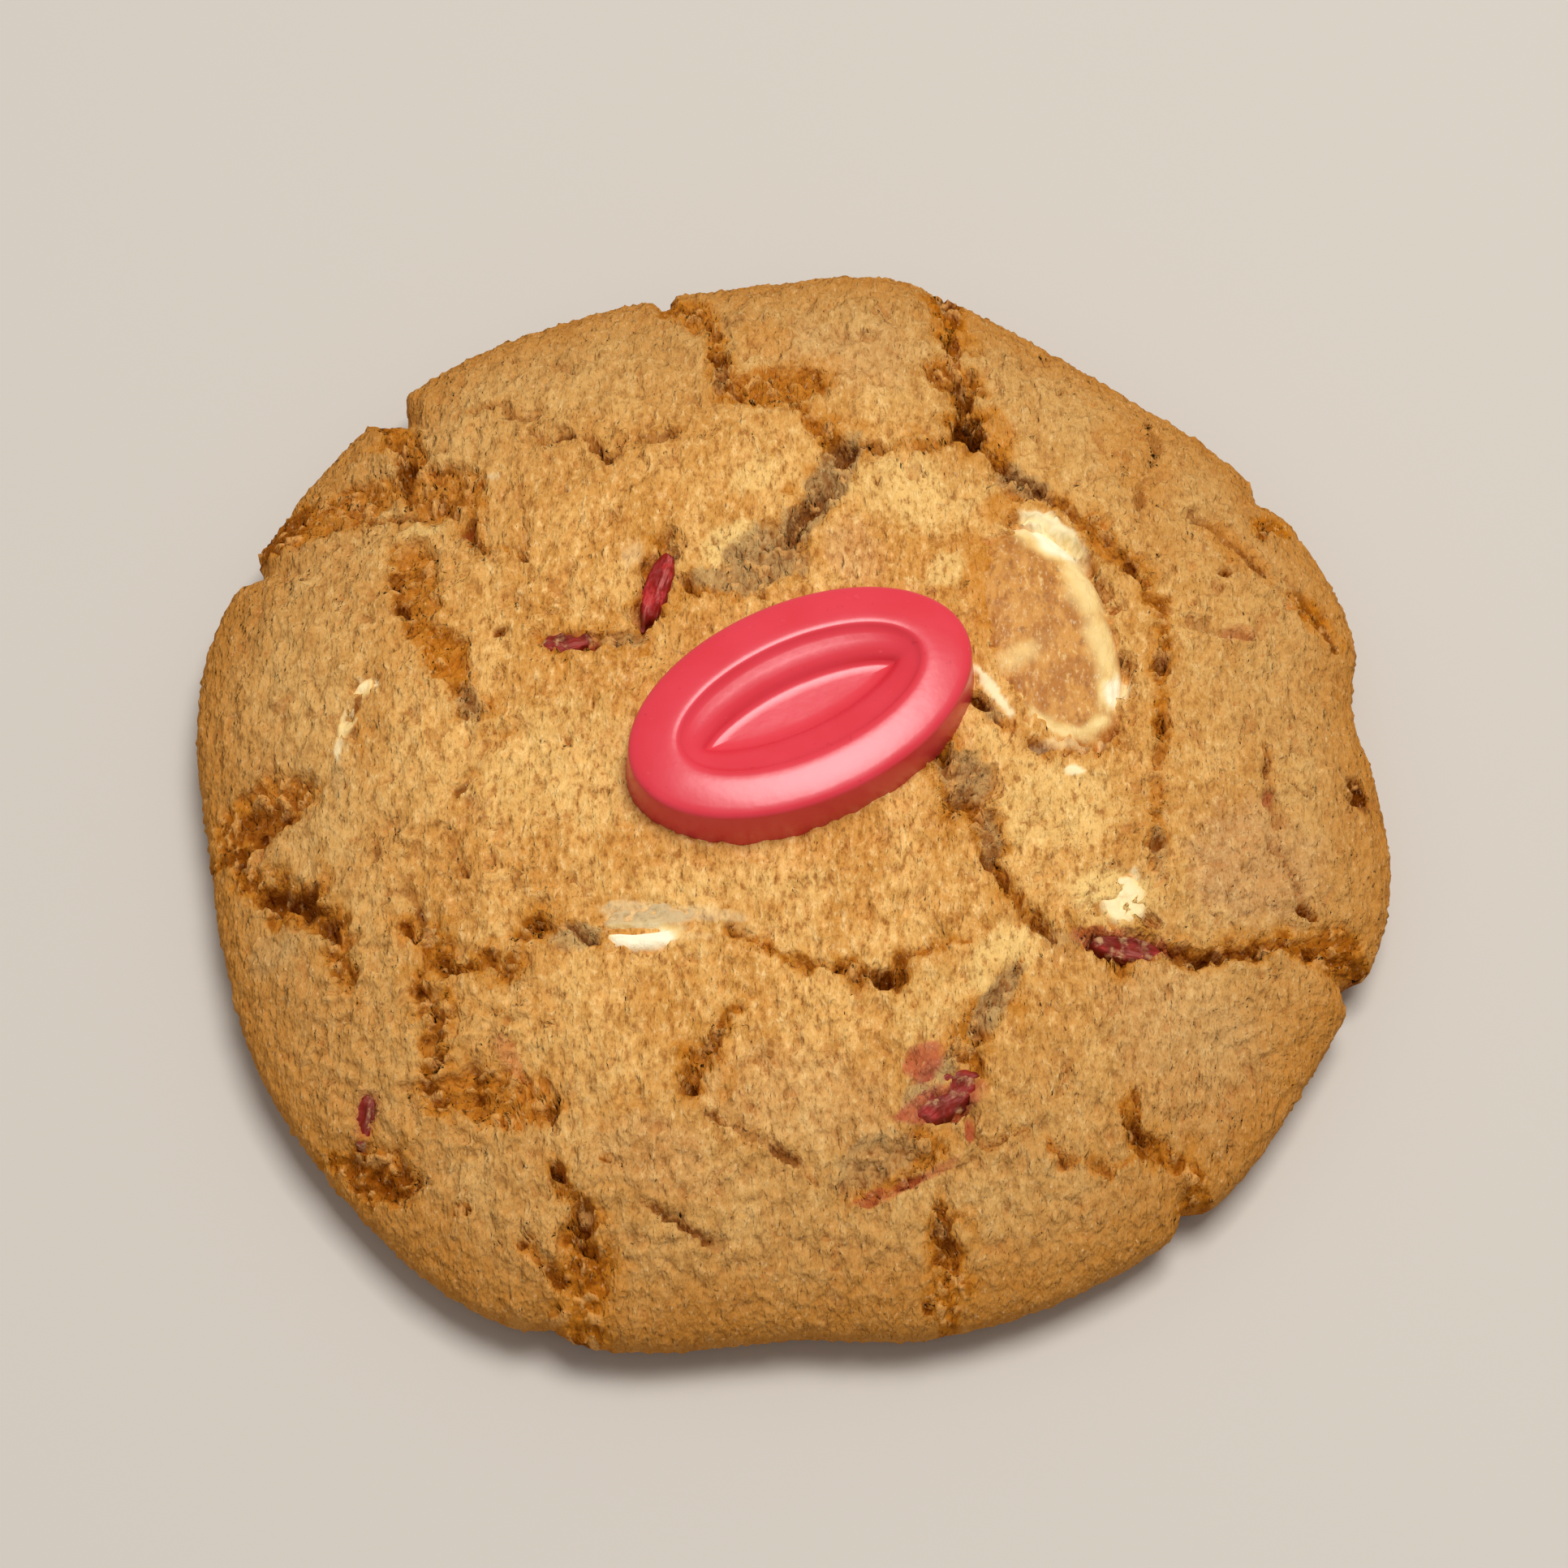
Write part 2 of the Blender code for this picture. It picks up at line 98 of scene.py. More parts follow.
# Cracks between the plates of crust: depth, and the route with the crack's width at each point
CRACKS = {
    "north_west_rim": (1.4, [
        (-34.5, 34.5, 1.8), (-32.6, 30.5, 1.1), (-30.8, 27.4, 1.2), (-30, 24.4, 1.1), (-30, 20.4, 0.8),
    ]),
    "north_west_plate": (0.9, [
        (-24.4, 23.2, 0.5), (-24.3, 20.5, 0.8), (-24.9, 18, 1.0), (-23.9, 15.8, 0.6), (-22.2, 15.7, 0.6),
        (-20, 14.8, 0.3),
    ]),
    "west_plate": (0.8, [
        (-44, 18.4, 1.2), (-38, 20.3, 0.9), (-33, 20.6, 0.6), (-30, 19.9, 0.9), (-25, 20.1, 0.7),
    ]),
    "west_valley": (1.0, [(-30.7, 17.2, 0.7), (-30.3, 13.5, 1.0), (-30, 11, 0.8), (-28, 7.5, 0.4)]),
    "west_valley_pit": (1.4, [(-25.4, 4.4, 0.7), (-24.6, 2.6, 1.2), (-23.5, 1.4, 0.9)]),
    "west_valley_end": (0.6, [(-23.5, 1.4, 0.6), (-23, 0, 0.6), (-20.5, -0.4, 0.5)]),
    "west_rim_upper": (1.0, [(-46, -7.6, 1.2), (-42, -7.4, 1.0), (-38.6, -5.2, 1.0), (-36.2, -3.2, 0.4)]),
    "west_rim_lower": (1.8, [
        (-41.8, -8.2, 0.8), (-39.5, -10.8, 1.7), (-36.3, -12.2, 2.0), (-34.6, -14.5, 1.6),
        (-33.6, -17, 1.2), (-32.3, -18.6, 0.5),
    ]),
    "west_rim_tail": (0.8, [(-33, -19.8, 0.7), (-32, -20.7, 0.5)]),
    "south_west_plate": (1.4, [
        (-28.2, -15.2, 0.6), (-26.4, -17.1, 1.5), (-24.6, -18.9, 0.9), (-22, -18.3, 0.8),
        (-20.4, -19.5, 1.0), (-20, -17.6, 0.7), (-18.6, -15.6, 1.1),
    ]),
    "south_west_valley": (1.3, [
        (-27.4, -19.8, 0.8), (-26, -22.2, 1.8), (-26, -24.6, 1.6), (-26.6, -26.8, 1.1),
        (-25.4, -29.2, 0.9),
    ]),
    "chip_slit": (0.9, [(-18.6, -15.6, 0.8), (-15.3, -16.6, 0.7), (-14.3, -17.4, 0.6)]),
    "south_west_pit": (1.7, [(-33.8, -31.2, 1.0), (-31, -32.6, 1.9), (-28.6, -34.2, 1.1)]),
    "south_rim_left": (1.8, [
        (-17.2, -33.8, 0.6), (-15.4, -36.8, 1.0), (-14.9, -38.6, 1.5), (-14.8, -41.5, 1.3),
        (-15.4, -46.5, 2.4),
    ]),
    "south_rim_branch": (0.9, [(-19.5, -38.7, 0.6), (-17.6, -40.5, 1.0), (-15.4, -41.4, 1.0)]),
    "south_rim_right": (1.5, [
        (10.8, -36, 0.5), (11.2, -38.6, 1.3), (12.3, -40.6, 1.4), (11.4, -43, 1.3), (11.3, -46, 1.6),
    ]),
    "south_east_rim": (1.5, [
        (25.3, -27.6, 0.4), (25.2, -30.8, 0.9), (28.2, -32.4, 1.3), (29.8, -33.4, 1.4), (31.8, -37, 1.8),
    ]),
    "south_east_split": (0.9, [(18.8, -31.8, 0.5), (20, -32.8, 0.9), (23.5, -33.3, 0.7), (25.7, -32.3, 0.3)]),
    "east_rim": (1.7, [
        (21.5, -16.2, 0.7), (24.5, -17.4, 1.4), (28.3, -16.9, 1.1), (30, -17.5, 1.1), (34.5, -16.1, 0.9),
        (40, -15.4, 1.3), (47, -16.8, 1.8),
    ]),
    "north_east_rim": (1.7, [
        (12.4, 46, 2.2), (13.3, 38, 1.1), (13.2, 35, 1.2), (13.9, 30.5, 1.3), (14.2, 27, 1.7),
        (16, 24, 1.0), (18.3, 22.6, 1.0),
    ]),
    "north_east_valley": (1.2, [
        (18.3, 22.6, 0.8), (21, 20, 1.1), (24.2, 17, 1.2), (26.4, 14.6, 1.1), (28.2, 12.2, 0.8),
        (29.2, 9.5, 0.8), (28.3, 6, 0.7), (28.4, 0, 0.6),
    ]),
    "east_valley": (0.8, [
        (28.4, 0, 0.6), (27.6, -3, 0.8), (27.5, -6, 0.7), (27.6, -8.4, 1.2), (27.3, -11, 0.4),
    ]),
    "north_rim": (1.3, [
        (-10.5, 46, 1.2), (-9.6, 42, 0.9), (-6.6, 39.4, 0.9), (-5.7, 36.4, 0.7), (-5.5, 34.4, 1.0),
        (-5.2, 31.5, 0.9), (-3.8, 29.8, 0.6),
    ]),
    "north_valley": (1.3, [
        (0.5, 29, 0.6), (3.8, 25.6, 1.0), (4.2, 23.8, 1.5), (2.2, 20.2, 1.4), (0.6, 17.6, 1.3),
        (-0.5, 15.5, 0.9),
    ]),
    "north_plate": (0.8, [(4.2, 25.2, 0.6), (8, 24.9, 0.7), (10.5, 24.7, 0.7), (13, 26.2, 0.5)]),
    "east_of_disc": (1.4, [
        (11.6, -1.9, 1.1), (12.4, -4.9, 1.2), (14.8, -8.2, 1.6), (14.9, -11, 0.9), (16.4, -12.9, 0.7),
        (17.6, -14.8, 0.7), (19.6, -16.9, 0.4),
    ]),
    "south_of_star": (1.2, [(17, -19, 0.6), (15.2, -21.4, 1.4), (13.7, -23.8, 1.3), (13.1, -26, 1.5)]),
    "middle_south": (1.3, [
        (-4, -16.6, 0.4), (0.5, -18.9, 0.6), (4, -19, 0.6), (6.3, -20, 1.0), (7.8, -20.3, 1.0),
        (8.7, -18.6, 0.7), (9.9, -17.7, 0.6), (13.4, -17.3, 0.4),
    ]),
    "south_diagonal": (1.3, [(-3.6, -22.2, 0.4), (-5, -24.4, 0.9), (-6.6, -26.4, 1.7), (-7.5, -28.8, 0.7)]),
    "berry_crack": (1.1, [
        (-19.6, 8.4, 0.5), (-17.6, 7.3, 1.4), (-15.6, 6.9, 1.3), (-13.4, 7.3, 1.1), (-11.4, 7.6, 1.2),
        (-10.4, 11, 1.6), (-10, 15.8, 0.8),
    ]),
    "grey_slit": (1.0, [(-8.8, 12.9, 0.4), (-6.8, 11.5, 0.9), (-4.8, 11.6, 0.7), (-1.8, 11, 0.5)]),
    "chunk_edge": (0.8, [
        (14.2, 2.6, 0.8), (16.4, 0.2, 0.6), (18.2, -1.1, 0.8), (20.6, -1.9, 0.9), (23, -1.6, 0.7),
        (24.8, -0.4, 0.4),
    ]),
}
# Finer splits within a plate, given in the same way
SPLITS = [
    (0.8, [(-25.6, 30.3, 0.4), (-24.4, 30.5, 0.5), (-22.8, 30.6, 0.8), (-21.6, 29.1, 0.9), (-20, 29.5, 0.3)]),
    (0.8, [
        (-20.3, 27.3, 0.4), (-19.4, 26.3, 0.6), (-17.8, 26.6, 0.6), (-15.6, 26.2, 0.8), (-14.9, 25, 0.6),
        (-14.4, 23.6, 0.5), (-13.2, 24.6, 0.6), (-13.1, 25.8, 0.4),
    ]),
    (0.8, [(-13, 25.9, 0.4), (-11.4, 26.3, 0.9), (-10.3, 25.6, 0.9), (-8.2, 26.7, 0.4)]),
    (0.5, [(-21.3, 22, 0.3), (-20.5, 18.5, 0.4), (-20.6, 16.3, 0.3)]),
    (0.6, [(-6, -30.1, 0.4), (-3, -31.5, 0.5), (0.6, -33.5, 0.6), (2, -35, 0.5)]),
    (0.6, [(-10.8, -36.3, 0.4), (-8, -37.7, 0.5), (-5, -39.4, 0.4)]),
    (0.8, [(13.3, -29.8, 0.6), (13, -31.6, 0.7), (14.4, -32.2, 0.5), (17.3, -30.9, 0.3)]),
    (0.8, [(36.2, 0.2, 0.4), (36.3, -3.7, 0.7), (37.1, -6.3, 0.8)]),
    (0.6, [(36.4, -7.9, 0.6), (38.1, -10.2, 0.5), (38.8, -12.6, 0.9)]),
    (0.6, [(-25.6, -6.8, 0.4), (-25.1, -9.6, 0.5), (-24.1, -11.6, 0.6)]),
    (0.5, [(-29.6, -6.2, 0.4), (-29.4, -7.6, 0.5)]),
    (0.5, [(-31, -7.9, 0.4), (-30.9, -9.5, 0.5)]),
    (0.6, [(-30.3, -12.6, 0.4), (-28.3, -12.4, 0.5), (-27.2, -15, 0.4)]),
    (0.5, [(5.5, -36.3, 0.4), (9, -34.6, 0.5), (13.5, -33, 0.4)]),
    (0.6, [(28.6, 30.6, 0.6), (29.4, 27.5, 0.8), (28.8, 25, 0.4)]),
    (0.6, [(27.6, 22.6, 0.5), (27.5, 20.6, 0.9)]),
    (0.6, [(31.6, 20.6, 0.5), (34, 18.8, 0.7), (35.6, 17, 0.8), (37, 15.6, 0.6)]),
    (0.6, [(37.2, 19.6, 0.7), (38.8, 22.2, 0.6)]),
    (0.6, [(39, 16, 0.5), (41.2, 13, 0.9), (42.6, 10.6, 0.6)]),
    (0.6, [(31, 10.2, 0.8), (33.2, 9.4, 0.9), (35.6, 9.2, 0.6)]),
    (0.6, [(-33.4, 4.9, 0.6), (-31.6, 4.5, 0.4)]),
    (0.4, [(-15.4, 4.3, 0.4), (-14.7, 1.6, 0.4)]),
    (0.4, [(19.6, -28.6, 0.4), (20.3, -26.4, 0.4)]),
    (0.4, [(-25, -5, 0.4), (-23.4, -3.4, 0.4)]),
]
# Holes torn into the crust, painted near black inside as shade: x, y, radius, depth
HOLES = [
    (14.1, 26.8, 0.95, 2.6), (14.2, 28.4, 0.6, 2.4), (43.6, -1.2, 0.75, 1.6), (43.8, -2.4, 0.8, 1.6),
    (-22.1, 8.4, 0.5, 1.0), (-5.5, 34.6, 0.5, 1.2), (-30.3, 13.6, 0.5, 0.8), (-30.1, 11, 0.5, 0.8),
    (-27.2, 21.3, 0.5, 0.9), (38.9, -12.8, 0.7, 1.0), (-18.6, -15.5, 0.6, 0.9), (-7.4, -28.4, 0.4, 0.8),
    (-13.2, -33.1, 0.4, 0.7), (-24, -36, 0.6, 0.7), (-19.3, -38.6, 0.5, 0.7), (7.0, -20.1, 0.6, 0.8),
    (-41.5, -6.9, 0.5, 0.8), (-38.4, -4.9, 0.5, 0.7), (27.5, -8.6, 0.6, 0.8), (33.8, 15, 0.35, 0.6),
    (-34.2, 22.4, 0.5, 0.7), (-22.9, -28.4, 0.5, 0.7), (-17.3, -29.6, 0.6, 0.8), (10, -42.9, 0.5, 0.6),
    (11.7, -2.2, 0.6, 1.0), (14.2, 2.2, 0.5, 0.8),
]
# Torn ground between plates, which shows coarse crumb: x, y, half length, half width, turn, depth
TORN_GROUND = [
    (-39.8, 21.8, 3.8, 2.1, 25, 1.1), (-33.5, 22.7, 4.2, 1.8, 5, 0.8), (-27.4, 22.4, 3.2, 2.3, -15, 1.0),
    (-30.2, 27, 3.6, 1.2, 105, 0.8), (-28.7, 13, 4.8, 1.6, 98, 0.9), (-26.2, 6.6, 3.6, 1.6, 118, 0.8),
    (-40.3, -4.2, 4.4, 2.1, 15, 1.1), (-21.5, -28.6, 4.6, 2.0, -12, 0.8), (-30, -33, 3.2, 1.7, -35, 1.2),
    (-14.9, -40.5, 3.8, 1.5, 95, 1.0), (-7.3, 40, 2.6, 1.5, 115, 0.6), (-1.2, 31, 4.4, 2.0, 10, 0.6),
    (12.3, 33.2, 1.9, 1.7, 0, 0.8), (12.5, 42.3, 2.6, 1.1, 90, 0.7), (17.8, 22, 2.8, 1.4, -40, 0.7),
    (-1.8, 14.4, 3.6, 2.4, 35, 0.8), (3.0, 21.5, 4.0, 1.5, 65, 0.7), (41.0, -14.6, 2.6, 1.2, 8, 0.8),
    (38.2, 21, 1.7, 1.1, 35, 0.5), (41.2, 12.8, 1.9, 1.0, -40, 0.5), (13.5, -4.2, 2.4, 1.6, -35, 0.7),
    (7.5, -33.6, 4.2, 1.7, 28, 0.4), (27.6, -31.9, 2.6, 1.0, -25, 0.7), (-36.5, -12.7, 2.6, 1.2, -35, 0.7),
]
# Loose, crumbling crust between the cracks: x, y, half length, half width, turn, strength
LOOSE_CRUST = [
    (-27.0, -24.0, 12.0, 9.0, -40, 0.45), (-24.0, -12.0, 9.0, 4.0, -20, 0.4),
    (-36.0, 24.0, 8.0, 4.0, 35, 0.4),
    (33.0, 14.0, 10.0, 5.0, -55, 0.4), (36.0, -6.0, 8.0, 3.5, 90, 0.35), (-14.0, -36.0, 9.0, 5.0, 0, 0.4),
    (26.0, -30.0, 7.0, 3.5, 40, 0.4), (-18.0, 27.0, 9.0, 2.6, -10, 0.35), (-28.0, 12.0, 9.0, 3.5, 100, 0.35),
]
# How high rubble heaps up, how high a crack's lips stand, how deep a hairline is, and how much of
# the ground's own sinking counts where a crack crosses it
RUBBLE_HEIGHT = 2.2
LIP_HEIGHT = 0.2
HAIRLINE_DEPTH = 0.4
KEPT_SINKING = 0.35
# Tints of the crust: x, y, half length, half width, turn, strength
TINTS = {
    "grey_crumb": [
        (-2.0, 14.4, 3.6, 2.9, 40, 1.0), (3.2, 21.7, 4.6, 1.6, 66, 1.0), (0.8, 17.4, 2.2, 1.6, 60, 0.9),
        (-5.8, 12.6, 2.2, 1.1, -10, 0.8), (6.2, -33.4, 4.2, 1.9, 24, 0.7), (10.3, -27.7, 3.3, 1.0, 44, 1.0),
        (33.0, -24.0, 4.0, 3.2, -60, 0.35), (-38.6, -15.8, 2.7, 2.2, 0, 0.55),
        (13.4, -3.9, 2.4, 2.0, -40, 0.9),
        (14.9, -8.8, 2.4, 0.9, 95, 0.8), (15.0, -22.0, 3.6, 1.1, 60, 0.9), (18.2, 22.2, 2.6, 1.6, -35, 0.8),
        (-15.8, -17, 2.2, 1.2, 10, 0.8), (-24.2, 2.4, 1.9, 0.9, 115, 0.8), (-34.2, -2.2, 2.2, 0.7, 85, 0.6),
        (20.5, -16.7, 1.8, 0.8, 5, 0.6), (27.7, -9, 1.8, 0.8, 90, 0.7), (-12.8, 7.3, 2.4, 0.9, 6, 0.7),
        (-5.5, 32.5, 2.0, 0.6, 90, 0.6), (15.2, 1.4, 1.2, 0.7, -45, 0.7), (-3.8, -16.2, 1.8, 0.6, -20, 0.5),
    ],
    # Darker crust, which also lies on holes and torn spots as painted shade
    "dark_crust_and_shade": [
        (-40.2, 21.6, 3.2, 1.9, 30, 0.8), (-30.3, 24.2, 2.8, 0.9, 100, 0.7), (-27.2, 21.3, 2.0, 0.9, 0, 0.6),
        (-40.4, -4.6, 4.0, 1.6, 15, 0.75), (-42.3, -7.4, 1.8, 1.0, -40, 0.7),
        (-30.0, -33.0, 3.6, 1.6, -30, 0.8),
        (41.5, -14.6, 2.2, 1.0, 0, 0.7), (12.0, 33.0, 1.8, 1.5, 0, 0.6), (-4.4, 38.8, 1.2, 1.0, 60, 0.6),
        (38.9, -12.8, 0.9, 0.6, 0, 1.0), (43.85, -1.9, 1.7, 0.7, 92, 1.0), (14.1, 27.3, 1.7, 0.9, 88, 1.0),
        (-15.0, -42.0, 2.8, 1.1, 95, 0.5), (-24.9, 18.0, 1.2, 0.5, 60, 0.8),
        (-36.4, -12.3, 1.8, 0.7, -25, 0.7),
        (-22.5, -28.8, 3.4, 1.1, -10, 0.4), (-30.2, 12.6, 2.2, 0.5, 90, 0.7), (27.6, 21.2, 1.1, 0.5, 85, 0.6),
        (-22.1, 8.4, 0.6, 0.5, 0, 1.0), (7.2, -20.1, 0.9, 0.6, 0, 0.9), (-19.6, -16.4, 1.0, 0.6, 60, 0.6),
        (-33.0, 3.1, 1.1, 0.4, 70, 1.0), (14.2, 2.2, 1.1, 0.5, -50, 1.0),
    ],
    "red_stain": [
        (35.0, 9.4, 2.0, 0.8, 15, 0.5), (9.8, -26.4, 2.0, 1.3, 35, 0.95), (-20.4, -25.8, 1.9, 0.9, -55, 0.55),
        (9.0, -34.7, 4.2, 0.5, 26, 0.6), (-31.2, -29.0, 2.2, 1.1, 80, 0.5), (5.8, -35.8, 1.6, 0.5, 25, 0.7),
        (9.2, -30.2, 2.4, 0.6, 8, 1.0),
        (24.8, -16.6, 4.4, 1.1, -5, 0.75), (-16.8, 7.2, 2.8, 0.9, 0, 0.65), (11.2, -29.2, 3.6, 1.3, 18, 0.9),
        (-10.4, 11.8, 3.8, 1.4, 76, 0.6), (-12.0, 13.4, 1.2, 0.8, 60, 0.25), (36.3, -4.0, 1.0, 0.4, 90, 0.6),
        (13.1, -31.0, 1.2, 0.4, 90, 0.8), (-24.9, 17.9, 0.9, 0.4, 60, 0.5), (34.0, -21.8, 1.3, 0.9, 0, 0.2),
    ],
    "yellow_crumb": [
        (15.5, -18.5, 4.0, 2.0, 50, 0.7), (9.5, 20.5, 6.5, 3.5, -15, 0.5), (-4.6, 15.6, 2.8, 1.8, 40, 0.9),
        (-9.0, 13.0, 2.0, 1.2, 70, 0.5), (12.0, 13.5, 2.4, 1.4, 50, 0.6), (20.0, -6.0, 6.0, 4.0, 20, 0.5),
        (10.0, -22.0, 4.0, 2.5, 60, 0.4), (-5.0, -13.0, 12.0, 1.6, 0, 0.3), (-16.0, -3.0, 9.0, 6.0, 0, 0.4),
        (-28.6, 18.7, 1.8, 0.9, 10, 0.8), (-2.5, 22.0, 2.6, 1.6, 40, 0.5), (16.5, -1.8, 3.0, 1.6, -30, 0.5),
        (24.2, -13.2, 3.2, 2.4, 10, 0.9),
    ],
    "pink_crust": [
        (35.0, -9.5, 6.0, 5.0, 40, 0.6), (1.0, -29.0, 9.0, 4.0, -10, 0.3), (4.0, 35.0, 7.0, 5.0, 0, 0.35),
        (5.0, 15.0, 2.4, 3.4, 20, 0.4), (30.0, -24.0, 9.0, 6.0, -50, 0.35),
        (-10.0, -33.0, 6.0, 3.0, -20, 0.35),
    ],
    "orange_crust": [
        (0.0, 32.0, 5.0, 2.6, 10, 0.6), (-2.0, 36.5, 3.0, 3.0, 0, 0.6), (13.0, 40.0, 4.5, 1.8, 90, 0.9),
        (38.2, 21.0, 2.2, 1.4, 35, 0.9), (41.3, 12.6, 3.0, 1.5, -40, 0.9), (27.5, 26.0, 6.0, 3.6, 105, 0.5),
        (35.0, 17.5, 4.2, 1.6, -45, 0.7), (16.5, 27.0, 3.6, 1.6, 100, 0.8), (16.3, 19.2, 2.0, 1.4, 30, 0.9),
        (-26.5, 7.5, 4.2, 1.5, 118, 0.9), (-33.0, 0.8, 2.6, 0.8, 95, 0.6), (-22.0, -28.0, 6.0, 3.2, -10, 0.6),
        (-14.6, -41.0, 5.0, 3.0, 95, 0.6), (-38.5, 20.5, 4.0, 1.6, 20, 0.6), (-31.5, 1.6, 1.4, 0.8, 60, 0.4),
        (4.0, 27.0, 9.0, 1.0, -5, 0.5), (40.0, -15.2, 4.0, 1.6, 0, 0.7), (19.0, -1.9, 5.0, 1.0, 0, 0.5),
        (28.3, 4.0, 7.0, 1.0, 90, 0.5), (-12.0, -29.5, 4.0, 1.6, 30, 0.5), (-28.6, -15.5, 3.0, 1.2, -50, 0.6),
        (15.6, 11.0, 6.5, 1.8, 104, 0.8),
    ],
    "cream_crumb": [
        (-12.2, -14.9, 2.6, 0.8, 5, 0.45), (-6.4, -15.3, 3.2, 0.7, -4, 0.4), (-8.4, -17.2, 3.0, 0.5, 5, 0.3),
        (21.4, -3.2, 0.9, 0.45, -5, 1.0), (-23.3, 22.9, 0.7, 0.5, 0, 0.45),
        (24.4, 6.0, 4.5, 1.0, 100, 0.45), (21.3, -0.9, 3.6, 0.7, 4, 0.4), (-32.2, 4.9, 1.0, 0.35, -15, 0.9),
        (-34.3, -0.4, 1.6, 0.4, 90, 0.6), (-12.2, 14.6, 1.6, 1.0, 70, 0.35), (25.6, -11.6, 1.3, 0.5, 80, 0.6),
        (15.4, 3.2, 2.5, 0.5, -55, 0.95), (25.6, 4.4, 1.2, 0.6, 80, 0.7), (20.4, 17.6, 3.0, 1.3, -38, 1.0),
    ],
}
# Pieces baked into the crust: x, y, half length, half width, half height, turn, and rise over the dome
PIECES = {
    "white_chunk_right": (19.8, 8.5, 10.3, 5.3, 2.4, 104, 0.45),
    "white_chip_lower": (-10.0, -16.1, 4.6, 2.0, 1.9, 6, -0.1),
    "white_chip_star": (24.9, -13.3, 2.2, 1.9, 1.8, 60, -0.3),
    "white_chip_left": (-33.2, 2.9, 2.9, 0.9, 1.4, 65, -0.3),
    "strawberry_upper": (-10.1, 12.0, 3.3, 1.1, 1.6, 75, -0.3),
    "strawberry_left": (-17.0, 7.3, 2.1, 1.0, 1.4, 10, -0.6),
    "strawberry_lower": (11.3, -28.7, 3.2, 1.5, 1.8, 35, -0.4),
    "strawberry_right": (25.0, -16.9, 2.8, 1.0, 1.4, -5, -0.6),
    "strawberry_south_west": (-31.4, -29.0, 2.0, 0.9, 1.4, 80, -0.4),
}
# Where the crust leaves each piece bare: x, y, half length, half width, turn
WINDOWS = {
    "white_chunk_right": [(20.6, 8.8, 9.7, 4.8, 104)],
    "white_chip_lower": [(-11.0, -17.1, 2.1, 0.95, 2), (-10.4, -15.6, 3.6, 0.9, 4)],
    "white_chip_star": [
        (25.3, -12.4, 1.7, 0.42, 84), (23.7, -13.9, 1.6, 0.42, 24), (26.0, -14.2, 1.3, 0.36, -30),
        (24.1, -14.7, 1.1, 0.4, 60),
    ],
    "white_chip_left": [(-32.5, 4.7, 1.0, 0.32, 10), (-33.8, 1.4, 1.4, 0.36, 78)],
    "strawberry_upper": [(-10.1, 12.6, 3.5, 1.15, 78), (-10.9, 9.5, 1.3, 1.0, 60)],
    "strawberry_left": [(-17.2, 7.2, 1.9, 0.75, -12)],
    "strawberry_lower": [(11.3, -29.5, 2.4, 0.75, 20), (12.9, -28.0, 1.7, 0.8, 80)],
    "strawberry_right": [(23.6, -17.0, 1.7, 0.8, -15), (26.3, -16.4, 1.7, 0.6, -20)],
    "strawberry_south_west": [(-31.3, -28.6, 1.2, 0.45, 75)],
}
DISC_TURN = 27.35
DISC_HALF_LENGTH = 14.15
DISC_HALF_WIDTH = 8.55
DISC_BASE_HEIGHT = disc_low.z / MM
# How far the crust lies under a piece that it leaves bare, and under the disc
BELOW_PIECE = 0.45
BELOW_DISC = 0.6
# Crumb that stands up all over the crust: wavelength, depth
CRUMBS = {"coarse_crumb": (1.2, 0.46), "fine_crumb": (0.6, 0.34)}


def smooth_curve(points, angles):
    """Values at angles in degrees on a closed smooth curve through (angle, value) points."""
    spots = np.array(points, float)
    at = np.concatenate([spots[-2:, 0] - 360, spots[:, 0], spots[:2, 0] + 360])
    value = np.concatenate([spots[-2:, 1], spots[:, 1], spots[:2, 1]])
    slope = np.concatenate([[0], (value[2:] - value[:-2]) / (at[2:] - at[:-2]), [0]])
    angles = np.mod(angles, 360)
    index = np.clip(np.searchsorted(at, angles, side="right") - 1, 1, len(at) - 3)
    width = at[index + 1] - at[index]
    s = (angles - at[index]) / width
    return (
        value[index] * (2 * s**3 - 3 * s**2 + 1)
        + slope[index] * width * (s**3 - 2 * s**2 + s)
        + value[index + 1] * (3 * s**2 - 2 * s**3)
        + slope[index + 1] * width * (s**3 - s**2)
    )


def rim_radius(angles):
    """Radius of the widest line, with its nicks."""
    radius = smooth_curve(RIM_POINTS, angles)
    for middle, depth, half_width in RIM_NICKS:
        away = np.abs(np.mod(angles - middle + 180, 360) - 180) / half_width
        radius = radius - depth * np.clip(1 - away, 0, 1)
    return radius


def dome_height(x, y):
    """Height of the smooth dome, and how far out each point lies, 1 at the widest line."""
    angles = np.degrees(np.arctan2(y, x))
    radius, whole = np.hypot(x, y), smooth_curve(RIM_POINTS, angles)
    held = NICK_START * whole
    in_rim = NICK_START + (1 - NICK_START) * (radius - held) / (rim_radius(angles) - held)
    out = np.minimum(1, np.where(radius < held, radius / whole, in_rim))
    fullness = (1 - out**DOME_FULLNESS) ** SHOULDER_ROUNDNESS
    return WIDEST_HEIGHT + (DOME_HEIGHT - WIDEST_HEIGHT) * fullness, out


def fade(value, full, none):
    """1 up to full, 0 from none on, and smooth between."""
    s = np.clip((none - value) / (none - full), 0, 1)
    return s * s * (3 - 2 * s)


def ragged(x, y, wavelength, layer):
    """Noise at every point, from about -1 to 1, different for each layer."""
    return np.array([noise.noise(Vector((a / wavelength, b / wavelength, layer))) for a, b in zip(x, y)])


def crust_swell(x, y):
    """How far the crust's slow unevenness lifts it over the smooth dome."""
    return sum(amount * ragged(x, y, wavelength, 7 / wavelength) for wavelength, amount in SWELLS)


